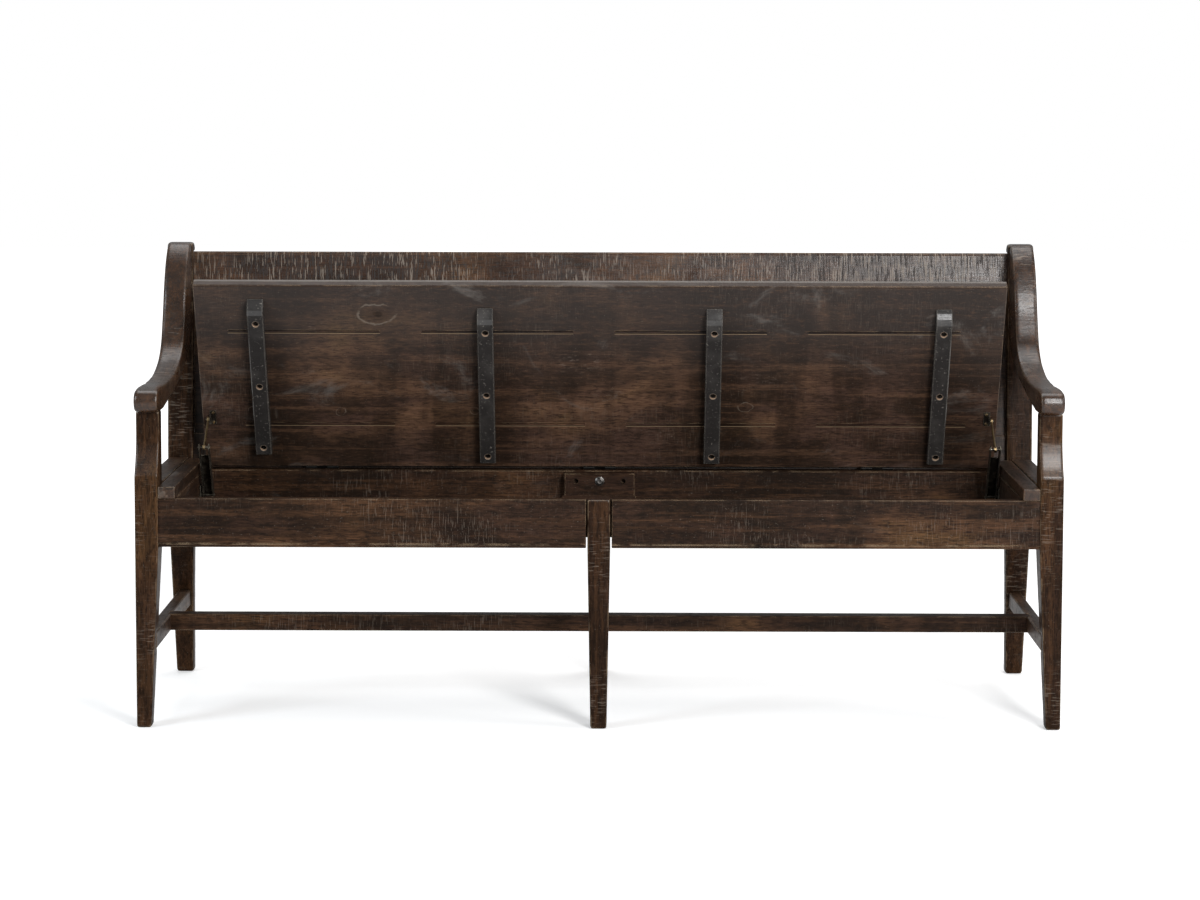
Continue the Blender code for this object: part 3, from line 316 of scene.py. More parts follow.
def stainedPine(name, cut, ofLid=False):
    material = bpy.data.materials.new(name)
    material.use_nodes = True
    tree = material.node_tree
    shader = tree.nodes["Principled BSDF"]
    place = addNode(tree, "ShaderNodeTexCoord").outputs["Object"]
    turn = {"X": (0, 0, 0), "Y": (0, 0, -pi / 2), "Z": (0, pi / 2, 0)}[cut["grain"]]
    along = addNode(tree, "ShaderNodeMapping", None, {0: place, 2: turn}).outputs[0]
    paints = {key: hexColour(value) for key, value in pineSet.items() if isinstance(value, str)}
    for key in ("deep", "dark", "mid", "warm", "gold"):
        paints[key] = (*(c * tone for c, tone in zip(paints[key], cut["tone"])), 1.0)

    # Every pattern: how it is squeezed (along, across, across), its scale per metre, detail,
    # roughness and distortion
    strokeWide = 0.5 / (pineSet["tickWide"] * pineSet["tickScale"])
    strokeLong = 0.5 / (pineSet["tickLong"] * pineSet["tickScale"])
    patterns = {
        "pores": ((0.06, 1, 1), 1 / pineSet["fineGrain"], 2.0, 0.7, 0.0),
        "lines": ((0.05, 1, 1), 0.55 / pineSet["grain"], 4.0, 0.62, 0.3),
        "streak": ((0.028, 1, 1), 75.0, 4.0, 0.60, 0.15),
        "blotch": ((0.55, 1, 1), 0.80 / pineSet["blotch"], 5.0, 0.64, 0.6),
        "warmth": ((0.50, 1, 1), 0.45 / pineSet["blotch"], 4.0, 0.60, 0.4),
        "mottle": ((0.28, 1, 1), 0.6 / pineSet["mottle"], 3.0, 0.62, 0.0),
        "drift": ((1, 0.14, 0.14), 9.0, 4.0, 0.62, 0.3),
        "haze": ((0.6, 1, 1), 7.5, 6.0, 0.70, 1.4),
        "grit": ((0.6, 1, 1), 420.0, 2.0, 0.6, 0.0),
        "ticks": ((strokeWide, strokeLong, strokeLong), pineSet["tickScale"], 2.0, 0.55, 0.0),
        "tickPlace": ((0.45, 0.8, 0.8), 9.0, 4.0, 0.65, 0.0),
        "rubPlace": ((0.6, 1, 1), 42.0, 4.0, 0.65, 0.0),
    }
    drawn = {}
    for key, (squeeze, scale, detail, rough, bend) in patterns.items():
        where = addNode(tree, "ShaderNodeMapping", None, {0: along, 3: squeeze}).outputs[0]
        drawn[key] = addNode(tree, "ShaderNodeTexNoise", None, {
            "Vector": where, "Scale": scale, "Detail": detail, "Roughness": rough,
            "Distortion": bend}).outputs["Fac"]
    grown = addNode(tree, "ShaderNodeMapping", None, {0: along, 3: (0.10, 1, 1)}).outputs[0]
    drawn["rings"] = addNode(tree, "ShaderNodeTexWave", {
        "wave_type": "BANDS", "bands_direction": "DIAGONAL"}, {
        "Vector": grown, "Scale": 15.0, "Distortion": 13.0, "Detail": 3.0,
        "Detail Scale": 1.1}).outputs["Fac"]

    # Edges; the eased pieces carry their own amount
    drawn["turning"] = edgeTurning(tree, pineSet["edge"])
    drawn["rub"] = addNode(tree, "ShaderNodeAttribute", {"attribute_name": "rub"}).outputs["Fac"]

    # Masks: from one pattern, smoothly from 0 at the first number to 1 at the second, times a share
    spread = cut.get("spread", 0.0)
    bands = {
        "fine": ("pores", 0.44, 0.62, 0.60),
        "line": ("lines", 0.46, 0.68, cut["lines"]),
        "streak": ("streak", 0.50, 0.62, 0.75 * cut["lines"]),
        "dark": ("blotch", 0.56, 0.42, 0.95 * cut["blotches"]),
        "warm": ("warmth", 0.46, 0.62, 0.70 * cut["blotches"]),
        "gold": ("warmth", 0.57, 0.70, 0.65 * cut["blotches"]),
        "drift": ("drift", 0.47, 0.62, cut["drift"]),
        "mottleDark": ("mottle", 0.48, 0.34, 0.62),
        "mottleLight": ("mottle", 0.54, 0.70, 0.16),
        "ring": ("rings", 0.62, 0.92, 0.40 * cut["lines"]),
        "haze": ("haze", 0.56, 0.74, cut["grey"]),
        "grit": ("grit", 0.65, 0.76, 0.20),
        "ticks": ("ticks", 0.58, 0.62, cut["ticks"]),
        "ticksDark": ("ticks", 0.46, 0.40, min(1.0, 1.5 * cut["ticks"])),
        "tickPlace": ("tickPlace", 0.44 - spread, 0.62 - spread, 1.0),
        "edge": ("turning", 0.995, 0.88, cut["worn"]),
        "rub": ("rub", 0.45, 1.0, 0.7 * cut["worn"]),
        "rubPlace": ("rubPlace", 0.40, 0.58, 1.0),
    }
    products = [("ticks", "tickPlace"), ("ticksDark", "tickPlace"), ("edge", "rubPlace"),
                ("rub", "rubPlace")]

    # Layers of colour, a mask and its paint each, from the first coat of stain to the wear on top
    stain = [("dark", "dark"), ("warm", "warm"), ("gold", "gold")]
    grain = [("drift", "deep"), ("streak", "warm"), ("ring", "deep"), ("line", "dark"),
             ("fine", "deep"), ("mottleDark", "deep")]
    wear = [("mottleLight", "warm"), ("haze", "grey"), ("grit", "scratch"), ("ticks", "scratch"),
            ("ticksDark", "deep"), ("edge", "worn"), ("rub", "worn")]
    if ofLid:
        under, overStain, overGrain, last = markLid(tree, place, drawn, bands, products)
        layers = under + stain + overStain + grain + overGrain + wear + last
    else:
        layers = stain + grain + wear
    if "topHighlight" in cut:
        # a painted highlight along the rounded top edge, just below the top
        drawn["height"] = addNode(tree, "ShaderNodeSeparateXYZ", None, {0: place}).outputs["Z"]
        start, full, fade, end = (cut["topHighlight"] - depth for depth in pineSet["topHighlight"])
        bands["lineLow"] = ("height", start, full, pineSet["topHighlightShare"])
        bands["lineHigh"] = ("height", end, fade, 1.0)
        products.append(("lineLow", "lineHigh"))
        layers.append(("lineLow", "gold"))

    mask = {}
    for key, (source, low, high, share) in bands.items():
        mask[key] = addNode(tree, "ShaderNodeMapRange", {"interpolation_type": "SMOOTHSTEP"}, {
            0: drawn[source], 1: low, 2: high, 3: 0.0, 4: share}).outputs[0]
    for first, second in products:
        mask[first] = addNode(tree, "ShaderNodeMath", {"operation": "MULTIPLY"}, {
            0: mask[first], 1: mask[second]}).outputs[0]
    colour = paints["mid"]
    for key, paint in layers:
        colour = addNode(tree, "ShaderNodeMix", {"data_type": "RGBA"}, {
            0: mask[key], 6: colour, 7: paints[paint]}).outputs[2]
    tree.links.new(colour, shader.inputs["Base Color"])

    # Satin lacquer, dull where the saw strokes and the mottle broke it
    satin = addNode(tree, "ShaderNodeMapRange", None, {
        0: drawn["haze"], 1: 0.3, 2: 0.7, 3: cut["gloss"] - pineSet["glossLess"],
        4: cut["gloss"] + pineSet["glossMore"]}).outputs[0]
    for key, dulled in (("ticks", 0.35), ("ticksDark", 0.45), ("mottleDark", 0.15)):
        satin = addNode(tree, "ShaderNodeMath", {"operation": "MULTIPLY_ADD"}, {
            0: mask[key], 1: dulled, 2: satin}).outputs[0]
    tree.links.new(satin, shader.inputs["Roughness"])
    shader.inputs["IOR"].default_value = pineSet["ior"]
    shader.inputs["Specular IOR Level"].default_value = cut["shine"]
    if "coat" in cut:
        normal = addNode(tree, "ShaderNodeNewGeometry").outputs["Normal"]
        upward = addNode(tree, "ShaderNodeSeparateXYZ", None, {0: normal}).outputs["Z"]
        pooled = addNode(tree, "ShaderNodeMapRange", {"interpolation_type": "SMOOTHSTEP"}, {
            0: upward, 1: pineSet["coatFrom"], 2: pineSet["coatTo"], 3: 0.0,
            4: cut["coat"]}).outputs[0]
        tree.links.new(pooled, shader.inputs["Coat Weight"])
        shader.inputs["Coat Roughness"].default_value = pineSet["coatRoughness"]

    # Relief: a pattern, its strength and its depth in metres
    normal = None
    for key, strength, depth in (("lines", 0.20, 0.0006), ("mottle", 0.14, 0.0006),
                                 ("ticks", 0.30, 0.0008)):
        inputs = {"Strength": strength, "Distance": depth, "Height": drawn[key]}
        if normal is not None:
            inputs["Normal"] = normal
        normal = addNode(tree, "ShaderNodeBump", None, inputs).outputs[0]
    tree.links.new(normal, shader.inputs["Normal"])
    return material


pine = {cut: stainedPine("pine_stained_" + cut, looks, ofLid=cut == "lid")
        for cut, looks in pineCuts.items()}
print("bench: pine")


# Battens: hardwood under brushed black lacquer, which gives soft shine in brush clouds, pale specks
# where it chipped, and a bare rim on the rubbed toe
lacquerSet = {
    "paint": "#282625",
    "faded": "#3d3a38",
    "chip": "#8d877e",
    "cloudScale": 26.0,     # noise cells in a metre
    "chipSize": 0.0022,
    "edge": 0.0018,         # how far in an edge is rubbed
    "roughness": 0.15,
    "glossLess": 0.06,      # how far the clouds move the roughness, down and up
    "glossMore": 0.12,
    "relief": 0.0006,
}
lacquer = bpy.data.materials.new("lacquer_black_brushed_on_beech")
lacquer.use_nodes = True
tree = lacquer.node_tree
shader = tree.nodes["Principled BSDF"]
place = addNode(tree, "ShaderNodeTexCoord").outputs["Object"]
cloud = addNode(tree, "ShaderNodeTexNoise", None, {
    "Vector": place, "Scale": lacquerSet["cloudScale"], "Detail": 5.0}).outputs["Fac"]
speck = addNode(tree, "ShaderNodeTexNoise", None, {
    "Vector": place, "Scale": 0.5 / lacquerSet["chipSize"], "Detail": 3.0,
    "Roughness": 0.7}).outputs["Fac"]
colour = layColours(tree, hexColour(lacquerSet["paint"]), (
    (cloud, 0.45, 0.72, 0.55, hexColour(lacquerSet["faded"])),
    (speck, 0.63, 0.70, 0.65, hexColour(lacquerSet["chip"])),
    (edgeTurning(tree, lacquerSet["edge"]), 0.99, 0.88, 0.45, hexColour(lacquerSet["chip"]))))
tree.links.new(colour, shader.inputs["Base Color"])
rough = addNode(tree, "ShaderNodeMapRange", None, {
    0: cloud, 1: 0.3, 2: 0.7, 3: lacquerSet["roughness"] - lacquerSet["glossLess"],
    4: lacquerSet["roughness"] + lacquerSet["glossMore"]}).outputs[0]
tree.links.new(rough, shader.inputs["Roughness"])
bump = addNode(tree, "ShaderNodeBump", None, {
    "Strength": 0.25, "Distance": lacquerSet["relief"], "Height": speck}).outputs[0]
tree.links.new(bump, shader.inputs["Normal"])


# Metals of the fittings, each with its finish, and raw wood round the screw holes
metalSets = {
    # stay arms and their plates: brown-black, with the steel grey along pressed edges
    "steel_blackened_pressed": {
        "base": "#35302a", "edge": "#a89f8e", "rough": 0.34, "metallic": 0.75, "wear": 0.9},
    # hinges: a dull black that hardly shines
    "steel_black_oxide_rolled": {
        "base": "#141312", "edge": "#35312c", "rough": 0.45, "metallic": 0.7, "wear": 0.5},
    # stay rods: straw-coloured streaks of light
    "steel_brass_plated_drawn": {
        "base": "#8f7a5a", "edge": "#c9b694", "rough": 0.33, "metallic": 1.0, "wear": 0.5},
    # connector bolts: a grey dome with one bright glint
    "steel_zinc_plated_turned": {
        "base": "#4a4745", "edge": "#d9d5cf", "rough": 0.30, "metallic": 1.0, "wear": 0.6},
    # screws: nearly black in their holes, lighter on the rim
    "steel_screw_dark": {
        "base": "#171412", "edge": "#4a4238", "rough": 0.42, "metallic": 0.9, "wear": 0.5},
    # drilled holes: a pale ring inside the black of the batten
    "beech_raw_drilled": {
        "base": "#6d5544", "edge": "#b39a80", "rough": 0.75, "metallic": 0.0, "wear": 0.4},
}
metalSkin = {
    "drawnScale": 520.0,    # noise cells in a metre: tool marks, coarser than real so that they show
    "smearScale": 70.0,     # and smears of handling
    "smearShare": 0.35,
    "edge": 0.0009,         # how far in an edge is rubbed
    "glossLess": 0.05,      # how far the smears move the roughness, down and up
    "glossMore": 0.12,
    "relief": 0.0002,
}
metals = {}
for name, looks in metalSets.items():
    material = bpy.data.materials.new(name)
    material.use_nodes = True
    tree = material.node_tree
    shader = tree.nodes["Principled BSDF"]
    place = addNode(tree, "ShaderNodeTexCoord").outputs["Object"]
    marks = addNode(tree, "ShaderNodeTexNoise", None, {
        "Vector": place, "Scale": metalSkin["drawnScale"], "Detail": 3.0}).outputs["Fac"]
    smear = addNode(tree, "ShaderNodeTexNoise", None, {
        "Vector": place, "Scale": metalSkin["smearScale"], "Detail": 4.0}).outputs["Fac"]
    rubbed = hexColour(looks["edge"])
    colour = layColours(tree, hexColour(looks["base"]), (
        (smear, 0.45, 0.75, metalSkin["smearShare"] * looks["wear"], rubbed),
        (edgeTurning(tree, metalSkin["edge"]), 0.99, 0.85, looks["wear"], rubbed)))
    tree.links.new(colour, shader.inputs["Base Color"])
    shader.inputs["Metallic"].default_value = looks["metallic"]
    rough = addNode(tree, "ShaderNodeMapRange", None, {
        0: smear, 1: 0.3, 2: 0.7, 3: looks["rough"] - metalSkin["glossLess"],
        4: looks["rough"] + metalSkin["glossMore"]}).outputs[0]
    tree.links.new(rough, shader.inputs["Roughness"])
    bump = addNode(tree, "ShaderNodeBump", None, {
        "Strength": 0.10, "Distance": metalSkin["relief"], "Height": marks}).outputs[0]
    tree.links.new(bump, shader.inputs["Normal"])
    metals[name] = material
print("bench: lacquer, metals and raw wood")

# How the name of a node starts, and its finish. The first that fits counts, and whatever fits none is
# finished like the aprons.
finishes = (
    ("seat_lid", pine["lid"]),
    ("lid_batten", lacquer),
    ("stay_rod", metals["steel_brass_plated_drawn"]),
    ("stay_", metals["steel_blackened_pressed"]),
    ("hinge_", metals["steel_black_oxide_rolled"]),
    ("splice_bolt", metals["steel_zinc_plated_turned"]),
    ("arm_", pine["arm"]),
    ("front_leg", pine["leg"]),
    ("back_post", pine["leg"]),
    ("centre_leg", pine["leg"]),
    ("crest_rail", pine["rail"]),
    ("corner_block", pine["box"]),
    ("box_side", pine["side"]),
    ("box_bottom", pine["box"]),
    ("back_panel", pine["panel"]),
    ("lower_back_rail", pine["panel"]),
    ("seat_", pine["side"]),
    ("side_", pine["side"]),
)
for name, thing in nodes.items():
    chosen = next((finish for start, finish in finishes if name.startswith(start)), pine["apron"])
    thing.data.materials.clear()
    thing.data.materials.append(chosen)
    for face in thing.data.polygons:
        face.material_index = 0


# Pieces shaped by hand: their edges are eased round, and how far an edge is eased says how it wears
easedSets = {
    "arm": {"names": ("arm_left", "arm_right"), "voxel": 0.0022, "passes": 16, "finish": pine["arm"]},
    "post": {"names": ("back_post_left", "back_post_right"), "voxel": 0.0026, "passes": 5,
             "finish": pine["leg"]},
    "leg": {"names": ("front_leg_left", "front_leg_right", "centre_leg_front", "centre_leg_back"),
            "voxel": 0.0022, "passes": 4, "finish": pine["leg"]},
}
easing = {
    "weld": 0.00001,        # points nearer than this become one
    "pull": 0.5,            # how far a point goes to the middle of its neighbours in one pass
    "fullWear": 98.5,       # the percentile of what was taken off at which the wear is full
}


def easedPiece(name, voxel, passes, finish):
    mesh = nodes[name].data.copy()
    shape = bmesh.new()
    shape.from_mesh(mesh)
    bmesh.ops.remove_doubles(shape, verts=shape.verts, dist=easing["weld"])
    shape.to_mesh(mesh)
    shape.free()
    piece = link(name + "_eased", mesh)
    live = piece.modifiers.new("even_skin", "REMESH")
    live.mode = "VOXEL"
    live.voxel_size = voxel
    graph = bpy.context.evaluated_depsgraph_get()
    skin = bpy.data.meshes.new_from_object(piece.evaluated_get(graph))
    piece.modifiers.clear()
    piece.data = skin

    count = len(skin.vertices)
    points, normals = np.empty(count * 3), np.empty(count * 3)
    skin.vertices.foreach_get("co", points)
    skin.vertices.foreach_get("normal", normals)
    points, normals = points.reshape(-1, 3), normals.reshape(-1, 3)
    ends = np.empty(len(skin.edges) * 2, dtype=np.int64)
    skin.edges.foreach_get("vertices", ends)
    ends = ends.reshape(-1, 2)
    degree = np.bincount(ends.ravel(), minlength=count).reshape(-1, 1)
    eased = points.copy()
    for step in range(passes):
        total = np.zeros_like(eased)
        for axis in range(3):
            for near, far in ((0, 1), (1, 0)):
                total[:, axis] += np.bincount(ends[:, near], weights=eased[ends[:, far], axis],
                                              minlength=count)
        eased += easing["pull"] * (total / degree - eased)
    taken = np.clip(((points - eased) * normals).sum(axis=1), 0.0, None)
    rub = np.clip(taken / np.percentile(taken, easing["fullWear"]), 0.0, 1.0)
    skin.vertices.foreach_set("co", eased.ravel())
    skin.attributes.new("rub", "FLOAT", "POINT").data.foreach_set("value", rub.astype(np.float32))
    skin.shade_smooth()
    skin.materials.clear()
    skin.materials.append(finish)
    skin.update()
    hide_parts(name)
    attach(piece, "frame")
    return piece


for looks in easedSets.values():
    for name in looks["names"]:
        easedPiece(name, looks["voxel"], looks["passes"], looks["finish"])
print("bench: eased pieces")


# Screws and sleeves are node trees that stand one small shape on each point of a guide mesh
def openTree(name, lengths, finish):
    # A tree whose inputs are the guide, these lengths and a finish
    tree = bpy.data.node_groups.new(name, "GeometryNodeTree")
    face = tree.interface
    face.new_socket("Geometry", in_out="INPUT", socket_type="NodeSocketGeometry")
    for title in lengths:
        face.new_socket(title, in_out="INPUT", socket_type="NodeSocketFloat")
    face.new_socket(finish, in_out="INPUT", socket_type="NodeSocketMaterial")
    face.new_socket("Geometry", in_out="OUTPUT", socket_type="NodeSocketGeometry")
    return tree, tree.nodes.new("NodeGroupInput").outputs


def closeTree(tree, guide, shape, finish, spin=None):
    # The shape looks along each point's own facing, after a spin about that facing
    facing = addNode(tree, "GeometryNodeInputNamedAttribute", {"data_type": "FLOAT_VECTOR"}, {
        "Name": "facing"}).outputs[0]
    aim = addNode(tree, "FunctionNodeAlignRotationToVector", {"axis": "Z"}, {
        "Vector": facing}).outputs[0]
    if spin is not None:
        aim = addNode(tree, "FunctionNodeRotateRotation", {"rotation_space": "LOCAL"}, {
            0: aim, 1: spin}).outputs[0]
    points = addNode(tree, "GeometryNodeMeshToPoints", None, {"Mesh": guide}).outputs[0]
    placed = addNode(tree, "GeometryNodeInstanceOnPoints", None, {
        "Points": points, "Instance": shape, "Rotation": aim}).outputs[0]
    real = addNode(tree, "GeometryNodeRealizeInstances", None, {0: placed}).outputs[0]
    finished = addNode(tree, "GeometryNodeSetMaterial", None, {
        "Geometry": real, "Material": finish}).outputs[0]
    tree.links.new(finished, tree.nodes.new("NodeGroupOutput").inputs[0])


def setOut(name, tree, spots, values, body):
    # Stands the tree's shape on every (spot, facing), and keeps the plain mesh
    guide = bpy.data.meshes.new(name + "_guide")
    guide.from_pydata([spot for spot, way in spots], [], [])
    ways = guide.attributes.new("facing", "FLOAT_VECTOR", "POINT")
    for i, (spot, way) in enumerate(spots):
        ways.data[i].vector = way
    holder = link(name + "_guide", guide)
    live = holder.modifiers.new("set_out", "NODES")
    live.node_group = tree
    sockets = {item.name: item.identifier for item in tree.interface.items_tree
               if item.in_out == "INPUT"}
    for title, value in values.items():
        live[sockets[title]] = value
    graph = bpy.context.evaluated_depsgraph_get()
    mesh = bpy.data.meshes.new_from_object(holder.evaluated_get(graph))
    bpy.data.objects.remove(holder, do_unlink=True)
    piece = link(name, mesh)
    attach(piece, body)


# Screws: a low cone for a head, with a cross recess. Taper is the top's share of the width, and
# recess is the width of a bar of the cross as a share of the head's radius.
screwSets = {
    "batten": {"head": 0.0082, "height": 0.0034, "taper": 0.80, "recess": 0.30},
    "hinge": {"head": 0.0066, "height": 0.0010, "taper": 0.86, "recess": 0.26},
    "stay": {"head": 0.0060, "height": 0.0014, "taper": 0.74, "recess": 0.28},
}
screwShape = {
    "sides": 24,
    "barLong": 1.15,        # a bar of the cross, over the head's radius
    "twist": 1.5,           # radians between one driven screw and another, at most
    "seed": 7,
    "sink": 0.0002,         # a head sits this far in its plate
}


def screwTree(name):
    tree, given = openTree(name, ("Head Size", "Head Height", "Taper", "Recess Width"), "Metal")
    height = given["Head Height"]
    rim = addNode(tree, "ShaderNodeMath", {"operation": "MULTIPLY"}, {
        0: given["Head Size"], 1: 0.5}).outputs[0]
    top, long, wide = (addNode(tree, "ShaderNodeMath", {"operation": "MULTIPLY"}, {
        0: rim, 1: share}).outputs[0] for share in (
        given["Taper"], screwShape["barLong"], given["Recess Width"]))
    head = addNode(tree, "GeometryNodeMeshCone", {"fill_type": "NGON"}, {
        "Vertices": screwShape["sides"], "Radius Top": top, "Radius Bottom": rim, "Depth": height})
    bars = addNode(tree, "GeometryNodeMeshBoolean", {"operation": "UNION", "solver": "EXACT"})
    for across, up in ((long, wide), (wide, long)):
        bar = addNode(tree, "ShaderNodeCombineXYZ", None, {0: across, 1: up, 2: height}).outputs[0]
        cube = addNode(tree, "GeometryNodeMeshCube", None, {"Size": bar})
        tree.links.new(cube.outputs["Mesh"], bars.inputs["Mesh 2"])
    lift = addNode(tree, "ShaderNodeCombineXYZ", None, {2: height}).outputs[0]
    cross = addNode(tree, "GeometryNodeTransform", None, {
        "Geometry": bars.outputs["Mesh"], "Translation": lift}).outputs[0]
    cut = addNode(tree, "GeometryNodeMeshBoolean", {"operation": "DIFFERENCE", "solver": "EXACT"}, {
        "Mesh 1": head.outputs["Mesh"], "Mesh 2": cross}).outputs["Mesh"]

    # Each head is turned by its own amount, as drivers leave them
    twist = addNode(tree, "FunctionNodeRandomValue", {"data_type": "FLOAT"}, {
        2: 0.0, 3: screwShape["twist"], "Seed": screwShape["seed"]}).outputs[1]
    spin = addNode(tree, "FunctionNodeAxisAngleToRotation", None, {
        "Axis": (0, 0, 1), "Angle": twist}).outputs[0]
    closeTree(tree, given["Geometry"], cut, given["Metal"], spin)
    return tree


def screwValues(kind, metal):
    looks = screwSets[kind]
    return {"Head Size": looks["head"], "Head Height": looks["height"], "Taper": looks["taper"],
            "Recess Width": looks["recess"], "Metal": metals[metal]}


# Sleeves: the raw wood of a drilled hole, inside its mouth
sleeveSet = {
    "radius": 0.0063,
    "wall": 0.0003,
    "deep": 0.0075,
    "inset": 0.0002,        # from the mouth
    "sides": 28,
}


def sleeveTree(name):
    tree, given = openTree(name, ("Hole Radius", "Wall", "Depth"), "Finish")
    path = addNode(tree, "GeometryNodeCurvePrimitiveCircle", None, {
        "Resolution": sleeveSet["sides"], "Radius": given["Hole Radius"]}).outputs[0]
    section = addNode(tree, "GeometryNodeCurvePrimitiveQuadrilateral", None, {
        "Width": given["Wall"], "Height": given["Depth"]}).outputs[0]
    ring = addNode(tree, "GeometryNodeCurveToMesh", None, {0: path, 1: section}).outputs[0]
    closeTree(tree, given["Geometry"], ring, given["Finish"])
    return tree


# Battens: a screw at the bottom of each hole, and a sleeve in its mouth
battenSet = {
    "count": 4,
    "firstShift": -0.019,   # the first batten stands further forward
    "face": -0.0238,        # its outer face, below the hinge pins when the lid is shut
    "holes": (-0.0398, -0.1797, -0.3196),
    "holeDepth": 0.012,
}
down = lidTurn @ Vector((0, 0, -1))
screws = screwTree("screw_heads")
sleeves = sleeveTree("hole_sleeves")
seat = battenSet["face"] + battenSet["holeDepth"] - screwSets["batten"]["height"] / 2
mouth = battenSet["face"] + sleeveSet["deep"] / 2 + sleeveSet["inset"]
headSpots, sleeveSpots = [], []
for i in range(battenSet["count"]):
    x = lidSet["firstBatten"] + lidSet["battenPitch"] * i
    for hole in battenSet["holes"]:
        along = hole + (battenSet["firstShift"] if i == 0 else 0.0)
        headSpots.append((onLid(x, along, seat), down))
        sleeveSpots.append((onLid(x, along, mouth), down))
setOut("batten_screws", screws, headSpots, screwValues("batten", "steel_screw_dark"),
       "lid")
setOut("batten_hole_sleeves", sleeves, sleeveSpots, {
    "Hole Radius": sleeveSet["radius"], "Wall": sleeveSet["wall"], "Depth": sleeveSet["deep"],
    "Finish": metals["beech_raw_drilled"]}, "lid")

# Hinge leaves: three screws in each fixed leaf, on its upper face
hingeSet = {
    "count": 3,
    "screws": (-0.021, 0.0, 0.021),     # from the middle of the leaf
    "screwsBack": 0.002,
}
hingeSpots = []
for i in range(hingeSet["count"]):
    low, high = (Vector(corner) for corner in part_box(f"hinge_leaf_{i + 1}_fixed"))
    middle = (low + high) / 2
    top = high.z + screwSets["hinge"]["height"] / 2 - screwShape["sink"]
    for offset in hingeSet["screws"]:
        spot = Vector((middle.x + offset, middle.y + hingeSet["screwsBack"], top))
        hingeSpots.append((spot, Vector((0, 0, 1))))
setOut("hinge_screws", screws, hingeSpots, screwValues("hinge", "steel_screw_dark"),
       "frame")

# Stays: four screws in the base on the box side, and two in the bracket under the lid
staySet = {
    "baseFace": 0.7734,     # x of the face that the screws stand on
    "baseScrews": ((0.0735, 0.3640), (0.0975, 0.3640), (0.0735, 0.3985), (0.0975, 0.3985)),
    "bracketX": 0.7508,
    "bracketFace": -0.0058,             # up, in the lid's frame
    "bracketScrews": (-0.1075, -0.1285),    # along
}
proud = screwSets["stay"]["height"] / 2 - screwShape["sink"]
for side, sign in (("left", -1), ("right", 1)):
    inward = Vector((-sign, 0, 0))
    baseSpots = [(Vector((sign * (staySet["baseFace"] - proud), y, z)), inward)
                 for y, z in staySet["baseScrews"]]
    setOut(f"stay_base_screws_{side}", screws, baseSpots, screwValues("stay", "steel_screw_dark"),
           "frame")
    bracketSpots = [(onLid(sign * staySet["bracketX"], along, staySet["bracketFace"] - proud), down)
                    for along in staySet["bracketScrews"]]
    setOut(f"stay_bracket_screws_{side}", screws, bracketSpots,
           screwValues("stay", "steel_brass_plated_drawn"), "lid")
print("bench: screws and sleeves")


# Bolts of the splices: a turned dome on a flange, with a hexagon socket
boltSet = {
    "height": 0.4074,       # above the floor
    # the profile, from the flange to the mouth of the socket: radius, and how far it stands out
    "profile": ((0.0090, 0.0000), (0.0090, 0.0010), (0.0084, 0.0014), (0.0072, 0.0016),
                (0.0066, 0.0022), (0.0058, 0.0030), (0.0050, 0.0034), (0.0042, 0.0034)),
    "socket": 0.0034,       # radius of the hexagon's corners
    "socketDepth": 0.0026,
    "steps": 36,
    "sharp": 38,            # degrees
}


def boltHead(name, y, facing):
    steps = boltSet["steps"]
    angles = [2 * pi * i / steps for i in range(steps)]
    outline = [([radius] * steps, out) for radius, out in boltSet["profile"]]
    mouth = boltSet["profile"][-1][1]
    hexagon = [boltSet["socket"] * cos(pi / 6) / cos((angle % (pi / 3)) - pi / 6) for angle in angles]
    outline += [(hexagon, mouth), (hexagon, mouth - boltSet["socketDepth"])]
    shape = bmesh.new()
    rings = [[shape.verts.new((radius * cos(angle), radius * sin(angle), out))
              for radius, angle in zip(radii, angles)] for radii, out in outline]
    for first, second in zip(rings, rings[1:]):
        for i in range(steps):
            after = (i + 1) % steps
            shape.faces.new((first[i], first[after], second[after], second[i]))
    shape.faces.new(rings[-1])
    shape.faces.new(rings[0][::-1])
    turn = Vector((0, 0, 1)).rotation_difference(Vector((0, facing, 0))).to_matrix().to_4x4()
    shape.transform(Matrix.Translation((0, y, boltSet["height"])) @ turn)
    bmesh.ops.recalc_face_normals(shape, faces=shape.faces)
    mesh = bpy.data.meshes.new(name + "_head")
    shape.to_mesh(mesh)
    shape.free()
    mesh.shade_smooth()
    mesh.set_sharp_from_angle(angle=radians(boltSet["sharp"]))
    mesh.materials.append(metals["steel_zinc_plated_turned"])
    piece = link(name + "_head", mesh)
    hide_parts(name)
    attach(piece, "frame")


boltHead("splice_bolt_front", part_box("splice_bolt_front")[0][1], 1)
boltHead("splice_bolt_back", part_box("splice_bolt_back")[1][1], -1)
print("bench: bolts")


# Floor, backdrop and light. The floor is white paper: near the bench it keeps a pale shadow,
# and further off the camera sees only white.
studioSet = {
    "worldLight": 0.33,     # of the white that the camera sees
    "floorColour": "#f2f2f2",
    "floorRoughness": 0.9,
    "floorReach": 14.0,
    "floorDrop": 0.0005,
    "liftNear": 0.36,       # how much the paper glows by itself, near the bench and far from it
    "liftFar": 1.0,
    "liftFrom": 1.6,        # metres from the middle of the bench
    "liftTo": 3.6,
}


def seenDirectly(tree):
    # 1 for the camera, also through clear things, and 0 for light on its way to the bench
    rays = addNode(tree, "ShaderNodeLightPath").outputs
    return addNode(tree, "ShaderNodeMath", {"operation": "MAXIMUM"}, {
        0: rays["Is Camera Ray"], 1: rays["Is Transmission Ray"]}).outputs[0]


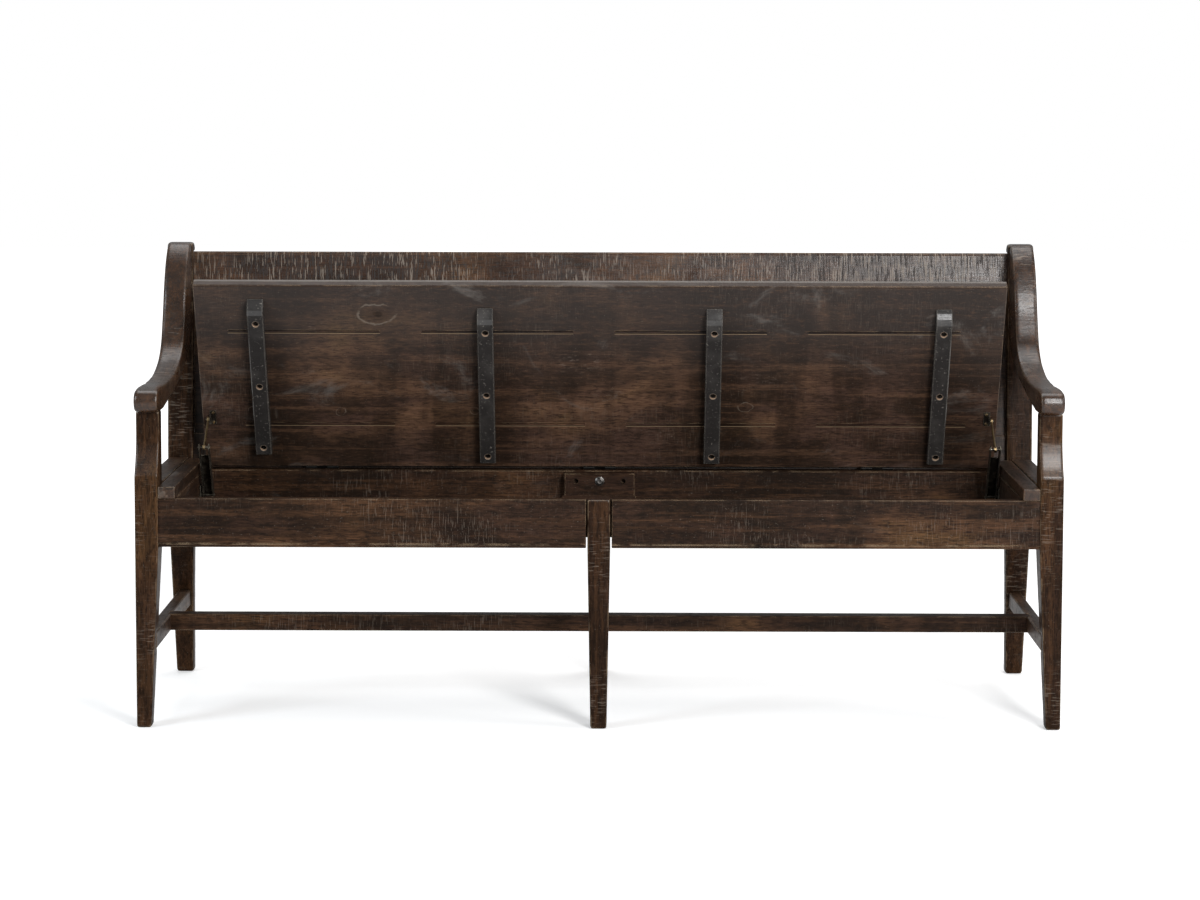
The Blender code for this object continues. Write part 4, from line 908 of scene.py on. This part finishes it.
reach = studioSet["floorReach"]
floorMesh = bpy.data.meshes.new("floor")
floorMesh.from_pydata([(-reach, -reach, 0), (reach, -reach, 0), (reach, reach, 0), (-reach, reach, 0)],
                      [], [(0, 1, 2, 3)])
floor = link("floor", floorMesh)
floor.location.z = -studioSet["floorDrop"]
paper = bpy.data.materials.new("paper_white_matte")
paper.use_nodes = True
tree = paper.node_tree
shader = tree.nodes["Principled BSDF"]
shader.inputs["Base Color"].default_value = hexColour(studioSet["floorColour"])
shader.inputs["Roughness"].default_value = studioSet["floorRoughness"]
shader.inputs["Specular IOR Level"].default_value = 0.0
spot = addNode(tree, "ShaderNodeTexCoord").outputs["Object"]
away = addNode(tree, "ShaderNodeVectorMath", {"operation": "LENGTH"}, {0: spot}).outputs["Value"]
lift = addNode(tree, "ShaderNodeMapRange", {"interpolation_type": "SMOOTHSTEP"}, {
    0: away, 1: studioSet["liftFrom"], 2: studioSet["liftTo"],
    3: studioSet["liftNear"], 4: studioSet["liftFar"]}).outputs[0]
strength = addNode(tree, "ShaderNodeMath", {"operation": "MULTIPLY"}, {
    0: seenDirectly(tree), 1: lift}).outputs[0]
glow = addNode(tree, "ShaderNodeEmission", None, {"Color": (1, 1, 1, 1), "Strength": strength})
both = addNode(tree, "ShaderNodeAddShader", None, {0: shader.outputs[0], 1: glow.outputs[0]})
tree.links.new(both.outputs[0], tree.nodes["Material Output"].inputs["Surface"])
floorMesh.materials.append(paper)
floor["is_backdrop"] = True

world = bpy.data.worlds.new("studio")
scene.world = world
world.use_nodes = True
tree = world.node_tree
strength = addNode(tree, "ShaderNodeMapRange", None, {
    0: seenDirectly(tree), 1: 0.0, 2: 1.0, 3: studioSet["worldLight"], 4: 1.0}).outputs[0]
background = tree.nodes["Background"]
background.inputs["Color"].default_value = (1, 1, 1, 1)
tree.links.new(strength, background.inputs["Strength"])

# Lamps: a wide one over the bench, a window at each side, and two softboxes in front that put the
# shine on the right arm and the crest
lampSets = {
    "overhead": {"place": (0.1, 0.8, 3.2), "aim": (0.0, 0.0, 0.4), "size": (3.6, 2.2), "watts": 62},
    "rightSoftbox": {"place": (1.45, -3.0, 2.50), "aim": (0.8, 0.0, 0.6), "size": (0.8, 1.2),
                     "watts": 60},
    "rightWindow": {"place": (3.4, -1.2, 1.9), "aim": (0.3, 0.0, 0.6), "size": (1.0, 2.0),
                    "watts": 30},
    "leftWindow": {"place": (-3.0, -2.2, 1.8), "aim": (-0.2, 0.0, 0.5), "size": (1.2, 1.8),
                   "watts": 52, "colour": (0.84, 0.93, 1.0)},
    "lowSoftbox": {"place": (1.95, -4.6, 1.60), "aim": (0.6, 0.1, 0.75), "size": (1.3, 0.95),
                   "watts": 124},
}
for name, lamp in lampSets.items():
    light = bpy.data.lights.new(name, "AREA")
    light.shape = "RECTANGLE"
    light.size, light.size_y = lamp["size"]
    light.energy = lamp["watts"]
    light.color = lamp.get("colour", (1, 1, 1))
    holder = link(name, light)
    holder.location = lamp["place"]
    look = Vector(lamp["aim"]) - Vector(lamp["place"])
    holder.rotation_euler = look.to_track_quat("-Z", "Y").to_euler()

# Camera, at the photograph's height and distance
cameraSet = {
    "place": (0.0186, -5.7210, 1.2229),
    "downTilt": 5.085,      # degrees below level
    "turn": 0.182,          # degrees to the left
    "roll": 0.14,           # degrees
    "lens": 90.39,          # millimetres
    "shift": -0.10,         # of the picture's width, upwards
}
lens = bpy.data.cameras.new("camera")
lens.lens = cameraSet["lens"]
lens.shift_y = cameraSet["shift"]
camera = link("camera", lens)
camera.location = cameraSet["place"]
look = (Matrix.Rotation(radians(cameraSet["turn"]), 4, "Z")
        @ Matrix.Rotation(pi / 2 - radians(cameraSet["downTilt"]), 4, "X")
        @ Matrix.Rotation(radians(cameraSet["roll"]), 4, "Z"))
camera.rotation_euler = look.to_euler()
scene.camera = camera
scene.view_settings.view_transform = "Standard"
print("bench: studio and camera")

low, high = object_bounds()
